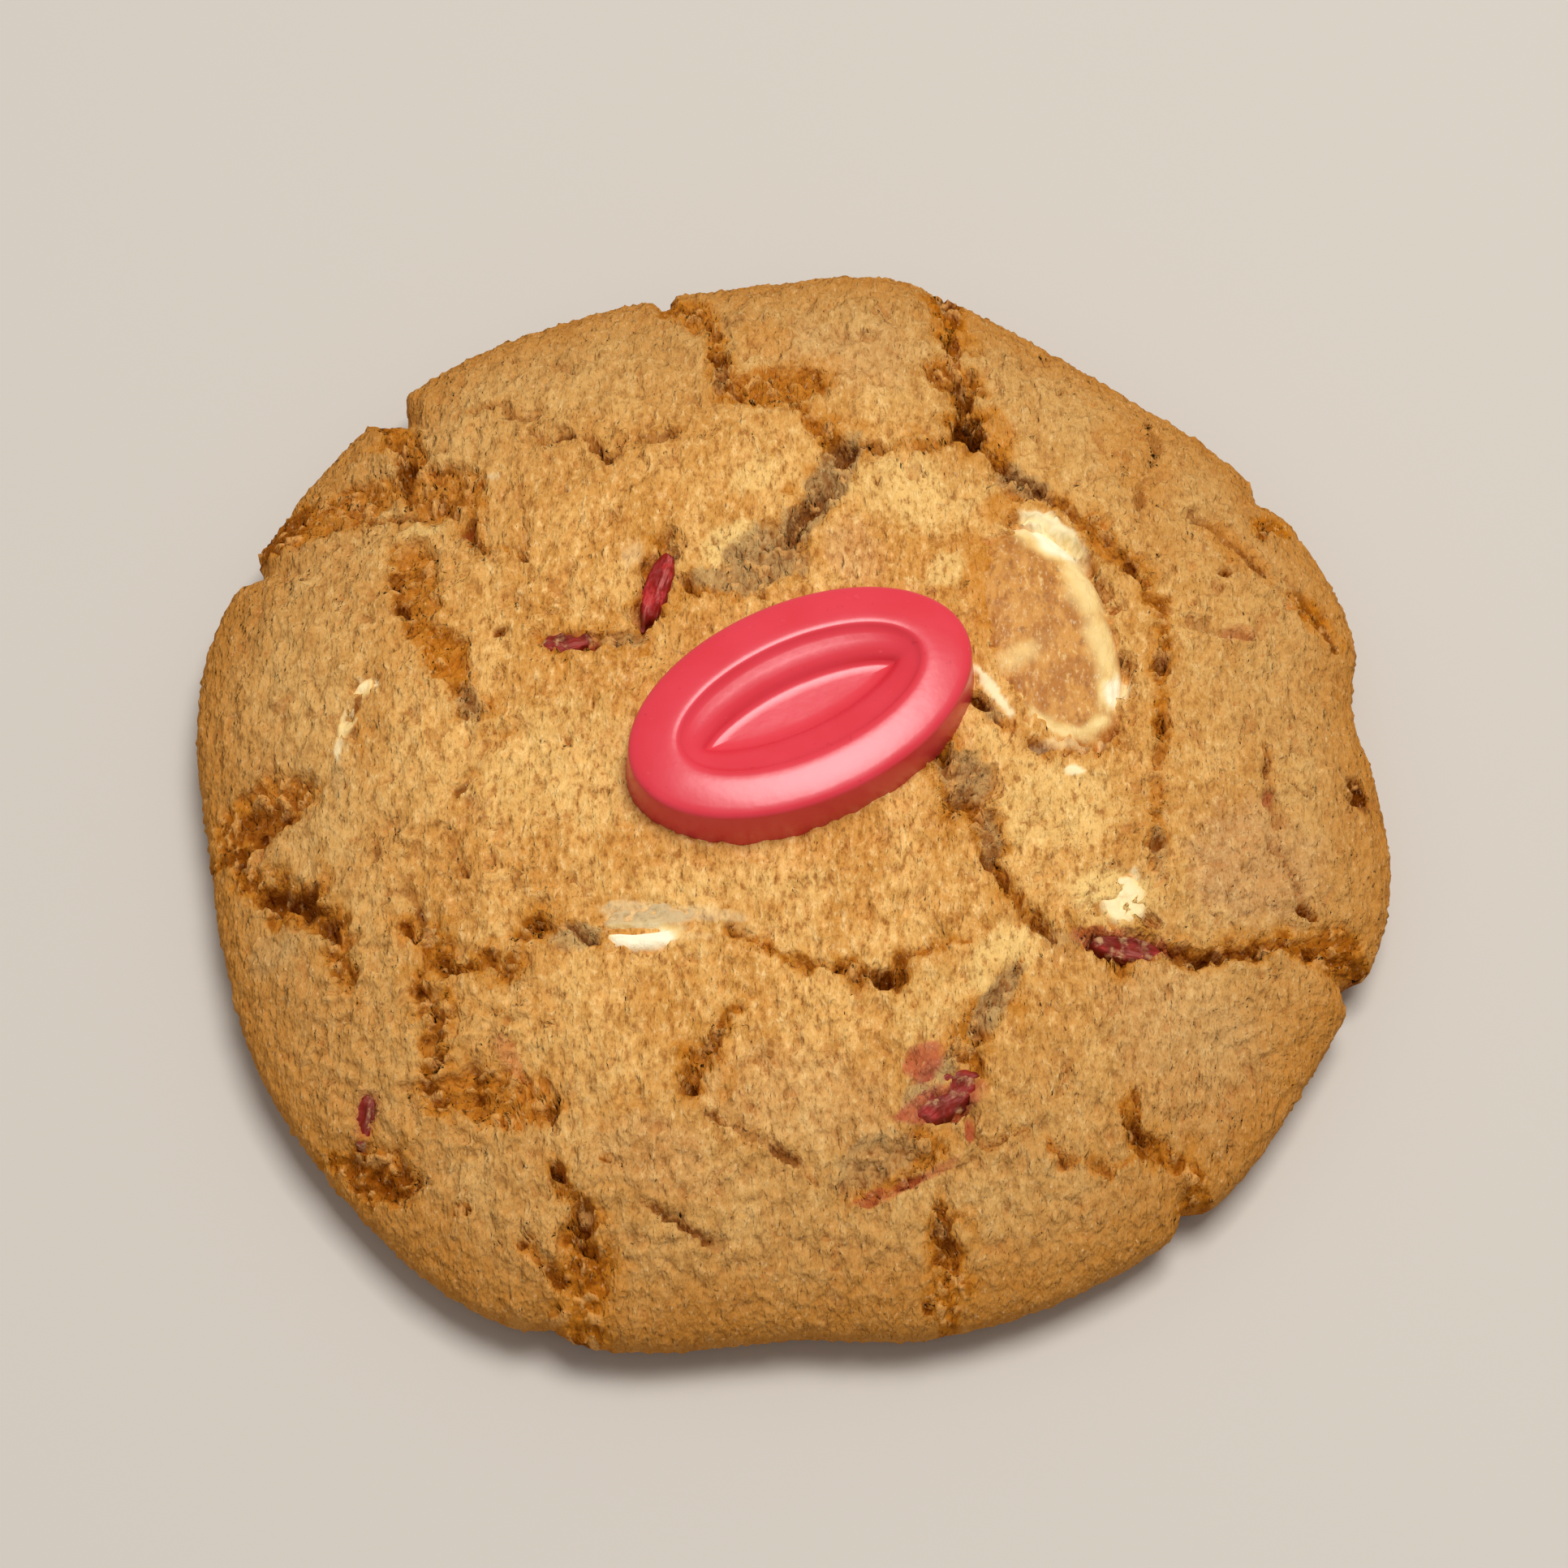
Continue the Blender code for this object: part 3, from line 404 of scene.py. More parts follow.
def crack_reach(x, y, route):
    """How far points lie from a crack's route, 1 at its edge."""
    nearest = np.full(len(x), np.inf)
    for (ax, ay, wide_a), (bx, by, wide_b) in zip(route, route[1:]):
        leg_x, leg_y = bx - ax, by - ay
        along = np.clip(((x - ax) * leg_x + (y - ay) * leg_y) / (leg_x**2 + leg_y**2), 0, 1)
        away = np.hypot(x - ax - along * leg_x, y - ay - along * leg_y)
        nearest = np.minimum(nearest, away / ((wide_a + (wide_b - wide_a) * along) / 2))
    return nearest


def oval_reach(x, y, place_x, place_y, half_length, half_width, turn):
    """How far points lie from an oval's middle, 1 at its edge."""
    c, s = math.cos(math.radians(turn)), math.sin(math.radians(turn))
    along, across = (x - place_x) * c + (y - place_y) * s, (y - place_y) * c - (x - place_x) * s
    return np.hypot(along / half_length, across / half_width)


def piece_top(x, y, size):
    """Height of a baked-in piece's upper skin, which follows the dome and drops at its edge."""
    px, py, half_length, half_width, half_height, turn, rise = size
    reach = np.minimum(1, oval_reach(x, y, px, py, half_length, half_width, turn))
    skin = dome_height(x, y)[0] + crust_swell(x, y)
    return skin + rise * (1 - reach**2) - half_height * (1 - np.sqrt(1 - reach**8))


bpy.ops.object.select_all(action="DESELECT")
bpy.ops.mesh.primitive_grid_add(x_subdivisions=DOUGH_LINES, y_subdivisions=DOUGH_LINES, size=2)
dough = bpy.context.object
dough.name = dough.data.name = "baked_dough"
flat = np.empty(len(dough.data.vertices) * 3)
dough.data.vertices.foreach_get("co", flat)
u, v = flat.reshape(-1, 3)[:, 0], flat.reshape(-1, 3)[:, 1]
side = np.maximum(np.abs(u), np.abs(v))
u, v = np.where(u == 0, 1e-9, u), np.where(v == 0, 1e-9, v)
to_the_side = 45 * v / u + np.where(u > 0, 0, 180)
to_the_back = 90 - 45 * u / v + np.where(v > 0, 0, 180)
angle = np.where(np.abs(u) >= np.abs(v), to_the_side, to_the_back) + GRID_TURN
share = 1 - (1 - side) ** RIM_GATHERING
whole = smooth_curve(RIM_POINTS, angle)
in_rim = NICK_START * whole
in_rim += (share - NICK_START) / (1 - NICK_START) * (rim_radius(angle) - in_rim)
radius = np.where(share < NICK_START, share * whole, in_rim)
x, y = radius * np.cos(np.radians(angle)), radius * np.sin(np.radians(angle))

wander_x, wander_y = x.copy(), y.copy()
for layer, (wavelength, reach) in enumerate(WANDERS):
    wander_x += reach * ragged(x, y, wavelength, 10 + layer)
    wander_y += reach * ragged(x, y, wavelength, 20 + layer)
fray = 0.4 * ragged(x, y, 2.2, 31) + 0.35 * ragged(x, y, 0.8, 32)

hold = np.clip((1 - share) * 9, 0, 1)
height = dome_height(x, y)[0] + crust_swell(x, y) * hold
for layer, (wavelength, amount) in enumerate(LUMPS):
    height += amount * ragged(1.5 * x, y, wavelength, 40 + layer) * hold

# Torn ground lies lower and is rubble. A crack is a broad shallow dip of rubble that opens deeper
# here and there, and its lips stand up a little.
# Colour marks are made here too: painted shade in crack openings, holes and the low places between rubble,
# and painted light on the rubble's tops
sunk, torn, browned, lips, crack_shade, hole_shade = (np.zeros(len(x)) for _ in range(6))
for px, py, half_length, half_width, turn, depth in TORN_GROUND:
    reach = oval_reach(wander_x, wander_y, px, py, half_length, half_width, turn) + 0.5 * fray
    ground = fade(reach, 0.85, 1.15)
    sunk = np.maximum(sunk, depth * ground)
    torn = np.maximum(torn, 0.9 * ground)
    browned = np.maximum(browned, 0.8 * fade(reach, 0.8, 1.6))
wide_here = np.clip(0.85 + 1.3 * ragged(x, y, 1.8, 51), 0.35, 1.6)
open_here = np.clip(0.5 + 1.9 * ragged(x, y, 2.6, 52), 0.12, 1.15)
for depth, route in CRACKS.values():
    reach = crack_reach(wander_x, wander_y, route) / wide_here
    opening = open_here * fade(reach, 0.4, 1.1)
    dip = fade(reach + 0.8 * fray, 0.4, 3.4)
    sunk = np.maximum(sunk, KEPT_SINKING * sunk + depth * (0.32 * dip + 0.95 * opening))
    torn = np.maximum(torn, min(1, depth / 1.1) * fade(reach + 1.2 * fray, 0.7, 2.9))
    crack_shade = np.maximum(crack_shade, min(1, depth / 0.9) * opening)
    browned = np.maximum(browned, min(1, depth / 1.4) * fade(reach + 1.5 * fray, 1.0, 5.0))
    lips = np.maximum(lips, min(1, depth) * fade(reach, 1.3, 2.6) * (1 - opening))
# A split is a clean thin line, open nearly all along, that wanders less
straighter_x, straighter_y = 0.4 * x + 0.6 * wander_x, 0.4 * y + 0.6 * wander_y
for depth, route in SPLITS:
    reach = crack_reach(straighter_x, straighter_y, route) / np.maximum(1.05, 1.3 * wide_here)
    opening = np.maximum(0.65, open_here) * fade(reach, 0.5, 1.15)
    dip = fade(reach, 0.5, 3.0)
    sunk = np.maximum(sunk, KEPT_SINKING * sunk + depth * (0.2 * dip + 1.2 * opening))
    crack_shade = np.maximum(crack_shade, min(1, depth / 0.5) * opening)
    torn = np.maximum(torn, 0.5 * depth * fade(reach + fray, 0.8, 2.4))
    browned = np.maximum(browned, 0.6 * depth * fade(reach + 1.5 * fray, 1.0, 4.0))
    lips = np.maximum(lips, depth * fade(reach, 1.3, 2.8) * (1 - opening))
browned = np.maximum(browned, 0.55 * np.clip((share - 0.78) * 5, 0, 1))
for hole_x, hole_y, hole_radius, depth in HOLES:
    opening = fade(np.hypot(wander_x - hole_x, wander_y - hole_y) / hole_radius, 0.7, 1.2)
    sunk += depth * opening
    torn = np.maximum(torn, opening)
    crack_shade = np.maximum(crack_shade, opening)
    hole_shade = np.maximum(hole_shade, min(1, depth / 2.4) * opening)
# Short hairlines all over the plates, where one noise crosses zero and another is high
crossing = np.abs(ragged(1.5 * x, y, 2.6, 61) + 0.35 * ragged(x, y, 0.9, 62))
hairline = fade(crossing, 0.03, 0.13) * (1 - fade(ragged(x, y, 2.1, 63), 0.02, 0.32)) * (1 - torn)
rubble = np.abs(ragged(x, y, 1.3, 53)) + 0.7 * np.abs(ragged(x, y, 0.7, 54)) - 0.35
crumbled = np.maximum(torn, 0.3 * np.clip((share - 0.7) * 5, 0, 1))
grey_patches = [(*spot[:5], 0.7 * spot[5]) for spot in TINTS["grey_crumb"]]
for px, py, half_length, half_width, turn, strength in LOOSE_CRUST + grey_patches:
    reach = oval_reach(x, y, px, py, half_length, half_width, turn) + 0.6 * fray
    crumbled = np.maximum(crumbled, strength * fade(reach, 0.7, 1.25))
sunk += HAIRLINE_DEPTH * hairline - LIP_HEIGHT * lips - RUBBLE_HEIGHT * rubble * crumbled
height -= sunk * (0.45 + 0.55 * hold)
browned = np.maximum(browned, 0.9 * crumbled)
# Painted shade in the low places between rubble
crack_shade = np.maximum(crack_shade, 0.85 * crumbled * fade(rubble, -0.28, -0.04))
# Painted light on the rubble's raised tops
rubble_light = crumbled * (1 - fade(rubble, 0.02, 0.32))

for node, windows in WINDOWS.items():
    reach = np.min([oval_reach(wander_x, wander_y, *window) for window in windows], axis=0)
    bare = fade(reach + 0.55 * fray, 0.9, 1.08)
    below = np.minimum(height, piece_top(x, y, PIECES[node]) - BELOW_PIECE)
    height = height * (1 - bare) + below * bare
reach = oval_reach(x, y, DISC_FROM_MIDDLE.x, DISC_FROM_MIDDLE.y, DISC_HALF_LENGTH, DISC_HALF_WIDTH, DISC_TURN)
height = np.where(reach < 0.93, DISC_BASE_HEIGHT - BELOW_DISC, height)
height = np.where(side > 1 - 1e-6, WIDEST_HEIGHT, height)
dough.data.vertices.foreach_set("co", np.stack([x, y, height], 1).ravel())

marks = {
    "torn": torn, "browned": browned, "crack_shade": crack_shade, "hole_shade": hole_shade, "rubble_light": rubble_light, "hairline": hairline,
    "outward": share,
}
for name, spots in TINTS.items():
    marks[name] = np.zeros(len(x))
    for px, py, half_length, half_width, turn, strength in spots:
        reach = oval_reach(x, y, px, py, half_length, half_width, turn) + 0.8 * fray
        marks[name] = np.maximum(marks[name], strength * fade(reach, 0.6, 1.3))
# Dark crust shows most in the low places between rubble, as painted shade there
marks["dark_crust_and_shade"] *= 0.4 + 0.6 * fade(rubble, -0.05, 0.3)
for name, values in marks.items():
    dough.data.attributes.new(name, "FLOAT", "POINT").data.foreach_set("value", values.astype(np.float32))

bpy.ops.object.mode_set(mode="EDIT")
bpy.ops.mesh.select_mode(type="EDGE")
bpy.ops.mesh.select_all(action="DESELECT")
bpy.ops.mesh.select_non_manifold()
for drawn_in, ring_height in UNDERCUT_RINGS:
    bpy.ops.mesh.extrude_edges_move()
    bpy.ops.object.mode_set(mode="OBJECT")
    for vert in (vert for vert in dough.data.vertices if vert.select):
        turn = math.atan2(vert.co.y, vert.co.x)
        ring_radius = float(rim_radius(np.array([math.degrees(turn)]))[0]) - drawn_in
        vert.co = (ring_radius * math.cos(turn), ring_radius * math.sin(turn), ring_height)
    bpy.ops.object.mode_set(mode="EDIT")
bpy.ops.mesh.edge_face_add()
bpy.ops.mesh.select_all(action="SELECT")
bpy.ops.mesh.normals_make_consistent(inside=False)
bpy.ops.object.mode_set(mode="OBJECT")

# Crumb over the whole crust, coarser where it is torn and finer where chocolate melted into it,
# but none on the flat underside
flat = np.empty(len(dough.data.vertices) * 3)
dough.data.vertices.foreach_get("co", flat)
torn_here = np.zeros(len(dough.data.vertices), np.float32)
dough.data.attributes["torn"].data.foreach_get("value", torn_here)
cream_here = np.zeros(len(dough.data.vertices), np.float32)
dough.data.attributes["cream_crumb"].data.foreach_get("value", cream_here)
weights = np.clip(flat.reshape(-1, 3)[:, 2] / 1.5, 0, 1) * (0.65 + 0.35 * torn_here) * (1 - 0.8 * cream_here)
crumb_group = dough.vertex_groups.new(name="crumb")
for index, weight in enumerate(weights):
    crumb_group.add([index], float(weight), "REPLACE")
for name, (wavelength, depth) in CRUMBS.items():
    texture = bpy.data.textures.new(name, "CLOUDS")
    texture.noise_type = "HARD_NOISE"
    texture.noise_scale = wavelength
    push = dough.modifiers.new(name, "DISPLACE")
    push.texture = texture
    push.texture_coords = "LOCAL"
    push.vertex_group = "crumb"
    push.strength = depth
    push.mid_level = 0.4
    bpy.ops.object.modifier_apply(modifier=name)

# The mesh moves to its place in the frame, in metres, and stays inside the frame's box
flat = np.empty(len(dough.data.vertices) * 3)
dough.data.vertices.foreach_get("co", flat)
places = (flat.reshape(-1, 3) + np.array(dome_middle)) * MM
dough.data.vertices.foreach_set("co", np.clip(places, np.array(cad_low), np.array(cad_high)).ravel())
dough.data.update()
bpy.ops.object.shade_smooth()


def add_node(tree, kind, settings=None, inputs=None):
    """Adds a node. An input given as a socket is linked, any other value is set."""
    made = tree.nodes.new(kind)
    for name, value in (settings or {}).items():
        setattr(made, name, value)
    for name, value in (inputs or {}).items():
        if isinstance(value, bpy.types.NodeSocket):
            tree.links.new(value, made.inputs[name])
        else:
            made.inputs[name].default_value = value
    return made


def colour(code):
    """An sRGB hex colour as the linear colour that a shader takes."""
    channels = [int(code[place : place + 2], 16) / 255 for place in (0, 2, 4)]
    return (*(c / 12.92 if c <= 0.04045 else ((c + 0.055) / 1.055) ** 2.4 for c in channels), 1.0)


def look_up(tree, patterns, attributes=(), stretch=(1, 1, 1)):
    """The marks that a material is coloured by: noise patterns of a size in mm, and attributes."""
    place = add_node(tree, "ShaderNodeTexCoord").outputs["Object"]
    place = add_node(tree, "ShaderNodeMapping", {}, {"Vector": place, "Scale": stretch}).outputs[0]
    found = {}
    for name in attributes:
        found[name] = add_node(tree, "ShaderNodeAttribute", {"attribute_name": name}).outputs["Fac"]
    for name, (size, detail, roughness) in patterns.items():
        values = {"Vector": place, "Scale": 1 / (size * MM), "Detail": detail, "Roughness": roughness}
        found[name] = add_node(tree, "ShaderNodeTexNoise", {}, values).outputs[0]
    return found


def paint(tree, marks, ground, layers):
    """Lays colours over the ground: mark, where it begins to show, where it is full, strength, colour."""
    shade = colour(ground)
    for mark, begins, full, strength, code in layers:
        values = {"Value": marks[mark], "From Min": begins, "From Max": full, "To Max": strength}
        amount = add_node(tree, "ShaderNodeMapRange", {"interpolation_type": "SMOOTHSTEP"}, values)
        values = {0: amount.outputs[0], 6: shade, 7: colour(code)}
        shade = add_node(tree, "ShaderNodeMix", {"data_type": "RGBA"}, values).outputs[2]
    return shade


# Butter dough, oven-browned: dry and matt, so it has no highlight. The plates are sandy gold with
# pale sugary grains and small dark pores, and the torn ground is browner. The rim is browner too,
# partly from baking and partly with painted shade where the shoulders turn from the light. Painted
# shade darkens the cracks, holes, hairlines and the low places between rubble, and painted light
# brightens the rubble's tops. The grain is drawn out a little from front to back, the way the dough crept.
CRUST_PATTERNS = {
    "patches": (9.0, 3.0, 0.5), "regions": (5.0, 2.0, 0.5), "tears": (4.2, 4.0, 0.65),
    "mottle": (2.4, 3.0, 0.6), "clumps": (1.5, 2.0, 0.6), "grain": (1.05, 3.0, 0.65), "fine": (0.5, 2.0, 0.6),
}
CRUST_LAYERS = [
    ("patches", 0.4, 0.6, 1.0, "DFAA60"),
    ("mottle", 0.46, 0.66, 0.6, "C08438"),
    ("yellow_crumb", 0.0, 1.0, 0.75, "F0CC80"),
    ("pink_crust", 0.0, 1.0, 0.6, "CC9E78"),
    ("grain", 0.5, 0.3, 0.8, "9A5C22"),
    ("grain", 0.5, 0.76, 0.7, "FAD08C"),
    # Browner and duller towards the rim: partly baked browning, partly painted shade where the shoulders turn
    # from the light
    ("outward", 0.45, 0.9, 0.52, "B28850"),
    ("outward", 0.84, 1.0, 0.5, "A86214"),
    ("browned", 0.1, 1.0, 0.55, "BA7414"),
    ("orange_crust", 0.1, 1.0, 0.6, "C07414"),
    ("torn", 0.2, 1.0, 0.6, "B46A0E"),
    ("grey_crumb", 0.2, 1.0, 0.7, "B09464"),
    # Darker crust, partly painted shade in holes and between rubble
    ("dark_crust_and_shade", 0.15, 1.0, 0.8, "763400"),
    ("pits", 0.4, 0.6, 0.65, "884602"),
    # Painted shade down in crack openings, holes and between rubble
    ("crack_shade", 0.25, 1.0, 0.8, "723600"),
    # Painted shade, near black, inside the deeper holes
    ("hole_shade", 0.45, 1.0, 0.85, "3A1200"),
    # Painted light on the raised tops of rubble
    ("rubble_light", 0.1, 0.8, 0.6, "E0A65E"),
    ("red_stain", 0.2, 1.0, 0.7, "AA3A30"),
    # Painted shade in the hairline cracks
    ("hairline", 0.2, 1.0, 0.4, "A0622A"),
    ("fine", 0.42, 0.26, 0.5, "925618"),
    ("fine", 0.58, 0.8, 0.32, "FFE0A8"),
    ("tear", 0.014, 0.002, 0.25, "965A1C"),
    ("cream_crumb", 0.1, 0.9, 0.95, "F0DEAE"),
]
crust = bpy.data.materials.new("baked_butter_dough")
crust.use_nodes = True
tree = crust.node_tree
shader = tree.nodes["Principled BSDF"]
found = look_up(tree, CRUST_PATTERNS, marks, stretch=(1.9, 1, 1))
# Small tears run where one noise passes its middle value, but in some regions only
away = add_node(tree, "ShaderNodeMath", {"operation": "SUBTRACT"}, {0: found["tears"], 1: 0.5})
away = add_node(tree, "ShaderNodeMath", {"operation": "ABSOLUTE"}, {0: away.outputs[0]})
whole_crust = {"Value": found["regions"], "From Min": 0.36, "From Max": 0.46, "To Max": 0.05}
whole_crust = add_node(tree, "ShaderNodeMapRange", {}, whole_crust)
tear = add_node(tree, "ShaderNodeMath", {"operation": "ADD"}, {0: away.outputs[0], 1: whole_crust.outputs[0]})
found["tear"] = tear.outputs[0]
pits = {0: found["browned"], 1: found["clumps"]}
found["pits"] = add_node(tree, "ShaderNodeMath", {"operation": "MULTIPLY"}, pits).outputs[0]
tree.links.new(paint(tree, found, "CE9248", CRUST_LAYERS), shader.inputs["Base Color"])
shader.inputs["Roughness"].default_value = 0.9
shader.inputs["Specular IOR Level"].default_value = 0.04
rough = {0: 1.0, 1: found["cream_crumb"]}
rough = add_node(tree, "ShaderNodeMath", {"operation": "SUBTRACT", "use_clamp": True}, rough).outputs[0]
relief = None
for height_mm, pattern in ((0.62, found["clumps"]), (0.24, found["grain"]), (0.06, found["fine"])):
    values = {"Strength": rough, "Distance": height_mm * MM, "Height": pattern}
    if relief:
        values["Normal"] = relief
    relief = add_node(tree, "ShaderNodeBump", {}, values).outputs[0]
tree.links.new(relief, shader.inputs["Normal"])
dough.data.materials.append(crust)
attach(dough, "root")
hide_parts("cookie")


# White chocolate, broken from ovals of couverture and folded into the dough before baking. The
# tops that stood in the oven's heat toasted as brown as the crust, and the edges stayed ivory.
BARE_CHOCOLATE = [
    (20.6, 17.4, 3.2, 1.8, -38, 1.0), (22.6, 12.5, 3.4, 1.3, 106, 0.5), (23.9, 7.2, 3.6, 1.1, 100, 0.45),
    (24.9, 3.6, 1.5, 1.0, 75, 1.0), (15.7, 3.0, 2.2, 0.8, -55, 1.0), (16.9, 5.9, 2.4, 0.9, 25, 0.35),
    (19.0, 0.9, 1.8, 0.5, -38, 0.5), (21.0, 0.1, 1.8, 0.5, -5, 0.5), (23.2, 0.8, 1.8, 0.5, 35, 0.5),
    (-11.0, -17.4, 2.6, 1.0, 2, 1.3), (24.9, -13.4, 3.0, 3.0, 0, 0.64),
    (-32.6, 4.6, 1.0, 0.7, 60, 0.6), (-33.9, 1.2, 1.8, 0.7, 78, 0.5),
]
# Rough chocolate is grey-cream, partly its own toasted colour and partly painted shade of its rough wall
ROUGH_CHOCOLATE = [(-10.4, -15.2, 4.8, 0.8, 4, 1.0), (-33.4, 2.6, 0.9, 0.5, 60, 0.8)]
CHOCOLATE_PATTERNS = {"mottle": (2.4, 3.0, 0.6), "grain": (0.95, 3.0, 0.7), "fine": (0.42, 2.0, 0.6)}
CHOCOLATE_LAYERS = [
    ("mottle", 0.4, 0.62, 0.85, "A8661E"),
    ("grain", 0.48, 0.3, 0.7, "8E581E"),
    ("grain", 0.54, 0.72, 0.5, "F0CC88"),
    ("bare", 0.0, 0.55, 0.9, "EFCD84"),
    ("bare", 0.4, 0.95, 1.0, "FCF0CC"),
    ("fine", 0.56, 0.76, 0.3, "FCEABF"),
    # Partly painted shade on the rough chocolate wall
    ("rough", 0.2, 0.8, 0.85, "CAB080"),
]
# How uneven every piece's skin is, how deep rough chocolate is pitted, and the slit in the lower chip
PIECE_SKIN = 0.16
ROUGH_DEPTH = 1.1
CHIP_SLIT = (-11.4, -16.55, 2.4, 0.32, 2)
SLIT_DEPTH = 0.9


def baked_lump(node, fineness, ruggedness):
    """A lump whose upper skin follows the crust, in millimetres from under the dome's middle."""
    size = PIECES[node]
    px, py, half_length, half_width, half_height, turn = size[:6]
    bpy.ops.object.select_all(action="DESELECT")
    bpy.ops.mesh.primitive_ico_sphere_add(subdivisions=fineness, radius=1)
    lump = bpy.context.object
    lump.name = lump.data.name = node + "_piece"
    ways = np.empty(len(lump.data.vertices) * 3)
    lump.data.vertices.foreach_get("co", ways)
    ways = ways.reshape(-1, 3)
    edge = 1 + ruggedness * ragged(ways[:, 0] + px, ways[:, 1] + py, 0.5, 71)
    along, across = ways[:, 0] * half_length * edge, ways[:, 1] * half_width * edge
    c, s = math.cos(math.radians(turn)), math.sin(math.radians(turn))
    x, y = px + along * c - across * s, py + along * s + across * c
    skin = PIECE_SKIN * (ragged(x, y, 1.2, 72) + ragged(x, y, 0.5, 73)) * np.clip(ways[:, 2] * 3, 0, 1)
    upper = piece_top(x, y, size) + skin
    lower = dome_height(x, y)[0] + crust_swell(x, y) - half_height * (1 - ways[:, 2])
    return lump, x, y, np.where(ways[:, 2] > 0, upper, lower), along, across


def settle(piece, x, y, height):
    """Puts a piece's points at their place in the frame, in metres."""
    places = (np.stack([x, y, height], 1) + np.array(dome_middle)) * MM
    piece.data.vertices.foreach_set("co", places.ravel())
    piece.data.update()
    bpy.ops.object.shade_smooth()


chocolate = bpy.data.materials.new("toasted_white_chocolate")
chocolate.use_nodes = True
tree = chocolate.node_tree
shader = tree.nodes["Principled BSDF"]
found = look_up(tree, CHOCOLATE_PATTERNS, ("bare", "rough"), stretch=(1.9, 1, 1))
tree.links.new(paint(tree, found, "CA8C3E", CHOCOLATE_LAYERS), shader.inputs["Base Color"])
shader.inputs["Roughness"].default_value = 0.7
shader.inputs["IOR"].default_value = 1.46
crumbs = {"Strength": 0.7, "Distance": 0.2 * MM, "Height": found["grain"]}
tree.links.new(add_node(tree, "ShaderNodeBump", {}, crumbs).outputs[0], shader.inputs["Normal"])
for node in ("white_chunk_right", "white_chip_lower", "white_chip_star", "white_chip_left"):
    piece, x, y, height, _, _ = baked_lump(node, 6 if node == "white_chunk_right" else 5, 0.06)
    fray = 0.5 * ragged(x, y, 1.5, 74)
    for name, spots in (("bare", BARE_CHOCOLATE), ("rough", ROUGH_CHOCOLATE)):
        values = np.zeros(len(x))
        for spot_x, spot_y, half_length, half_width, turn, strength in spots:
            reach = oval_reach(x, y, spot_x, spot_y, half_length, half_width, turn) + fray
            values = np.maximum(values, strength * fade(reach, 0.25, 1.9))
        piece.data.attributes.new(name, "FLOAT", "POINT").data.foreach_set("value", values.astype(np.float32))
        if name == "rough":
            height -= ROUGH_DEPTH * values * np.abs(ragged(x, y, 0.8, 75))
    slit = fade(oval_reach(x, y, *CHIP_SLIT), 0.3, 1.3)
    settle(piece, x, y, height - SLIT_DEPTH * slit)
    piece.data.materials.append(chocolate)
    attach(piece, "root")
    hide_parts(node)


# Strawberry, torn from dried slices: leathery shreds that the oven darkened at the edges, with a
# little juice left in the thick parts, which look crimson and slightly wet. The flesh has pale
# fibres along it, so the streaks follow each shred's own length.
BERRY_LAYERS = [
    ("mottle", 0.42, 0.6, 0.9, "B43230"),
    ("streak", 0.5, 0.68, 0.7, "D87A72"),
    ("streak", 0.66, 0.78, 0.55, "ECBCA4"),
    ("streak", 0.44, 0.34, 0.6, "6A100C"),
    ("scorched", 0.0, 1.0, 1.0, "6A2C1C"),
    ("edge", 0.7, 1.05, 0.7, "5A1408"),
    ("dusted", 0.3, 0.46, 0.85, "C09468"),
]
SCORCHED = {
    "strawberry_left": 0.75, "strawberry_lower": 0.75, "strawberry_right": 0.8, "strawberry_south_west": 0.85,
}
berry = bpy.data.materials.new("baked_dried_strawberry")
berry.use_nodes = True
tree = berry.node_tree
shader = tree.nodes["Principled BSDF"]
patterns = {"mottle": (1.4, 3.0, 0.6), "crumbs": (0.9, 3.0, 0.7)}
found = look_up(tree, patterns, ("edge", "along", "across", "scorched"))
# Dough crumbs stuck to the shreds that lie deepest in the crust
dusted = {0: found["crumbs"], 1: found["scorched"]}
found["dusted"] = add_node(tree, "ShaderNodeMath", {"operation": "MULTIPLY"}, dusted).outputs[0]
fibre = {"X": found["along"], "Y": found["across"]}
fibre = add_node(tree, "ShaderNodeCombineXYZ", {}, fibre).outputs[0]
values = {"Vector": fibre, "Scale": 1.3, "Detail": 4.0, "Roughness": 0.65}
found["streak"] = add_node(tree, "ShaderNodeTexNoise", {}, values).outputs[0]
tree.links.new(paint(tree, found, "861812", BERRY_LAYERS), shader.inputs["Base Color"])
shader.inputs["Roughness"].default_value = 0.5
shader.inputs["Specular IOR Level"].default_value = 0.15
wrinkles = {"Strength": 0.9, "Distance": 0.25 * MM, "Height": found["streak"]}
tree.links.new(add_node(tree, "ShaderNodeBump", {}, wrinkles).outputs[0], shader.inputs["Normal"])
for node in [name for name in PIECES if name.startswith("strawberry")]:
    piece, x, y, height, along, across = baked_lump(node, 5, 0.25)
    ridges = 0.35 * np.abs(ragged(across, along / 5, 0.5, 81)) + 0.2 * ragged(x, y, 0.8, 82)
    reach = np.hypot(along / PIECES[node][2], across / PIECES[node][3])
    scorched = np.full(len(x), SCORCHED.get(node, 0.0)) * (0.75 + 0.5 * ragged(x, y, 0.8, 83))
    for name, values in {"edge": reach, "along": along / 5, "across": across, "scorched": scorched}.items():
        piece.data.attributes.new(name, "FLOAT", "POINT").data.foreach_set("value", values.astype(np.float32))
    settle(piece, x, y, height + ridges - 0.1)
    piece.data.materials.append(berry)
    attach(piece, "root")
    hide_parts(node)


# The oval disc: strawberry couverture cast in a polished mould, so its face is satin and its edges
# are crisp. It was pressed into the crust while that was warm. A plain oval hollow with a pointed
# well is sunk in its face.
DISC_SPOKES = 160
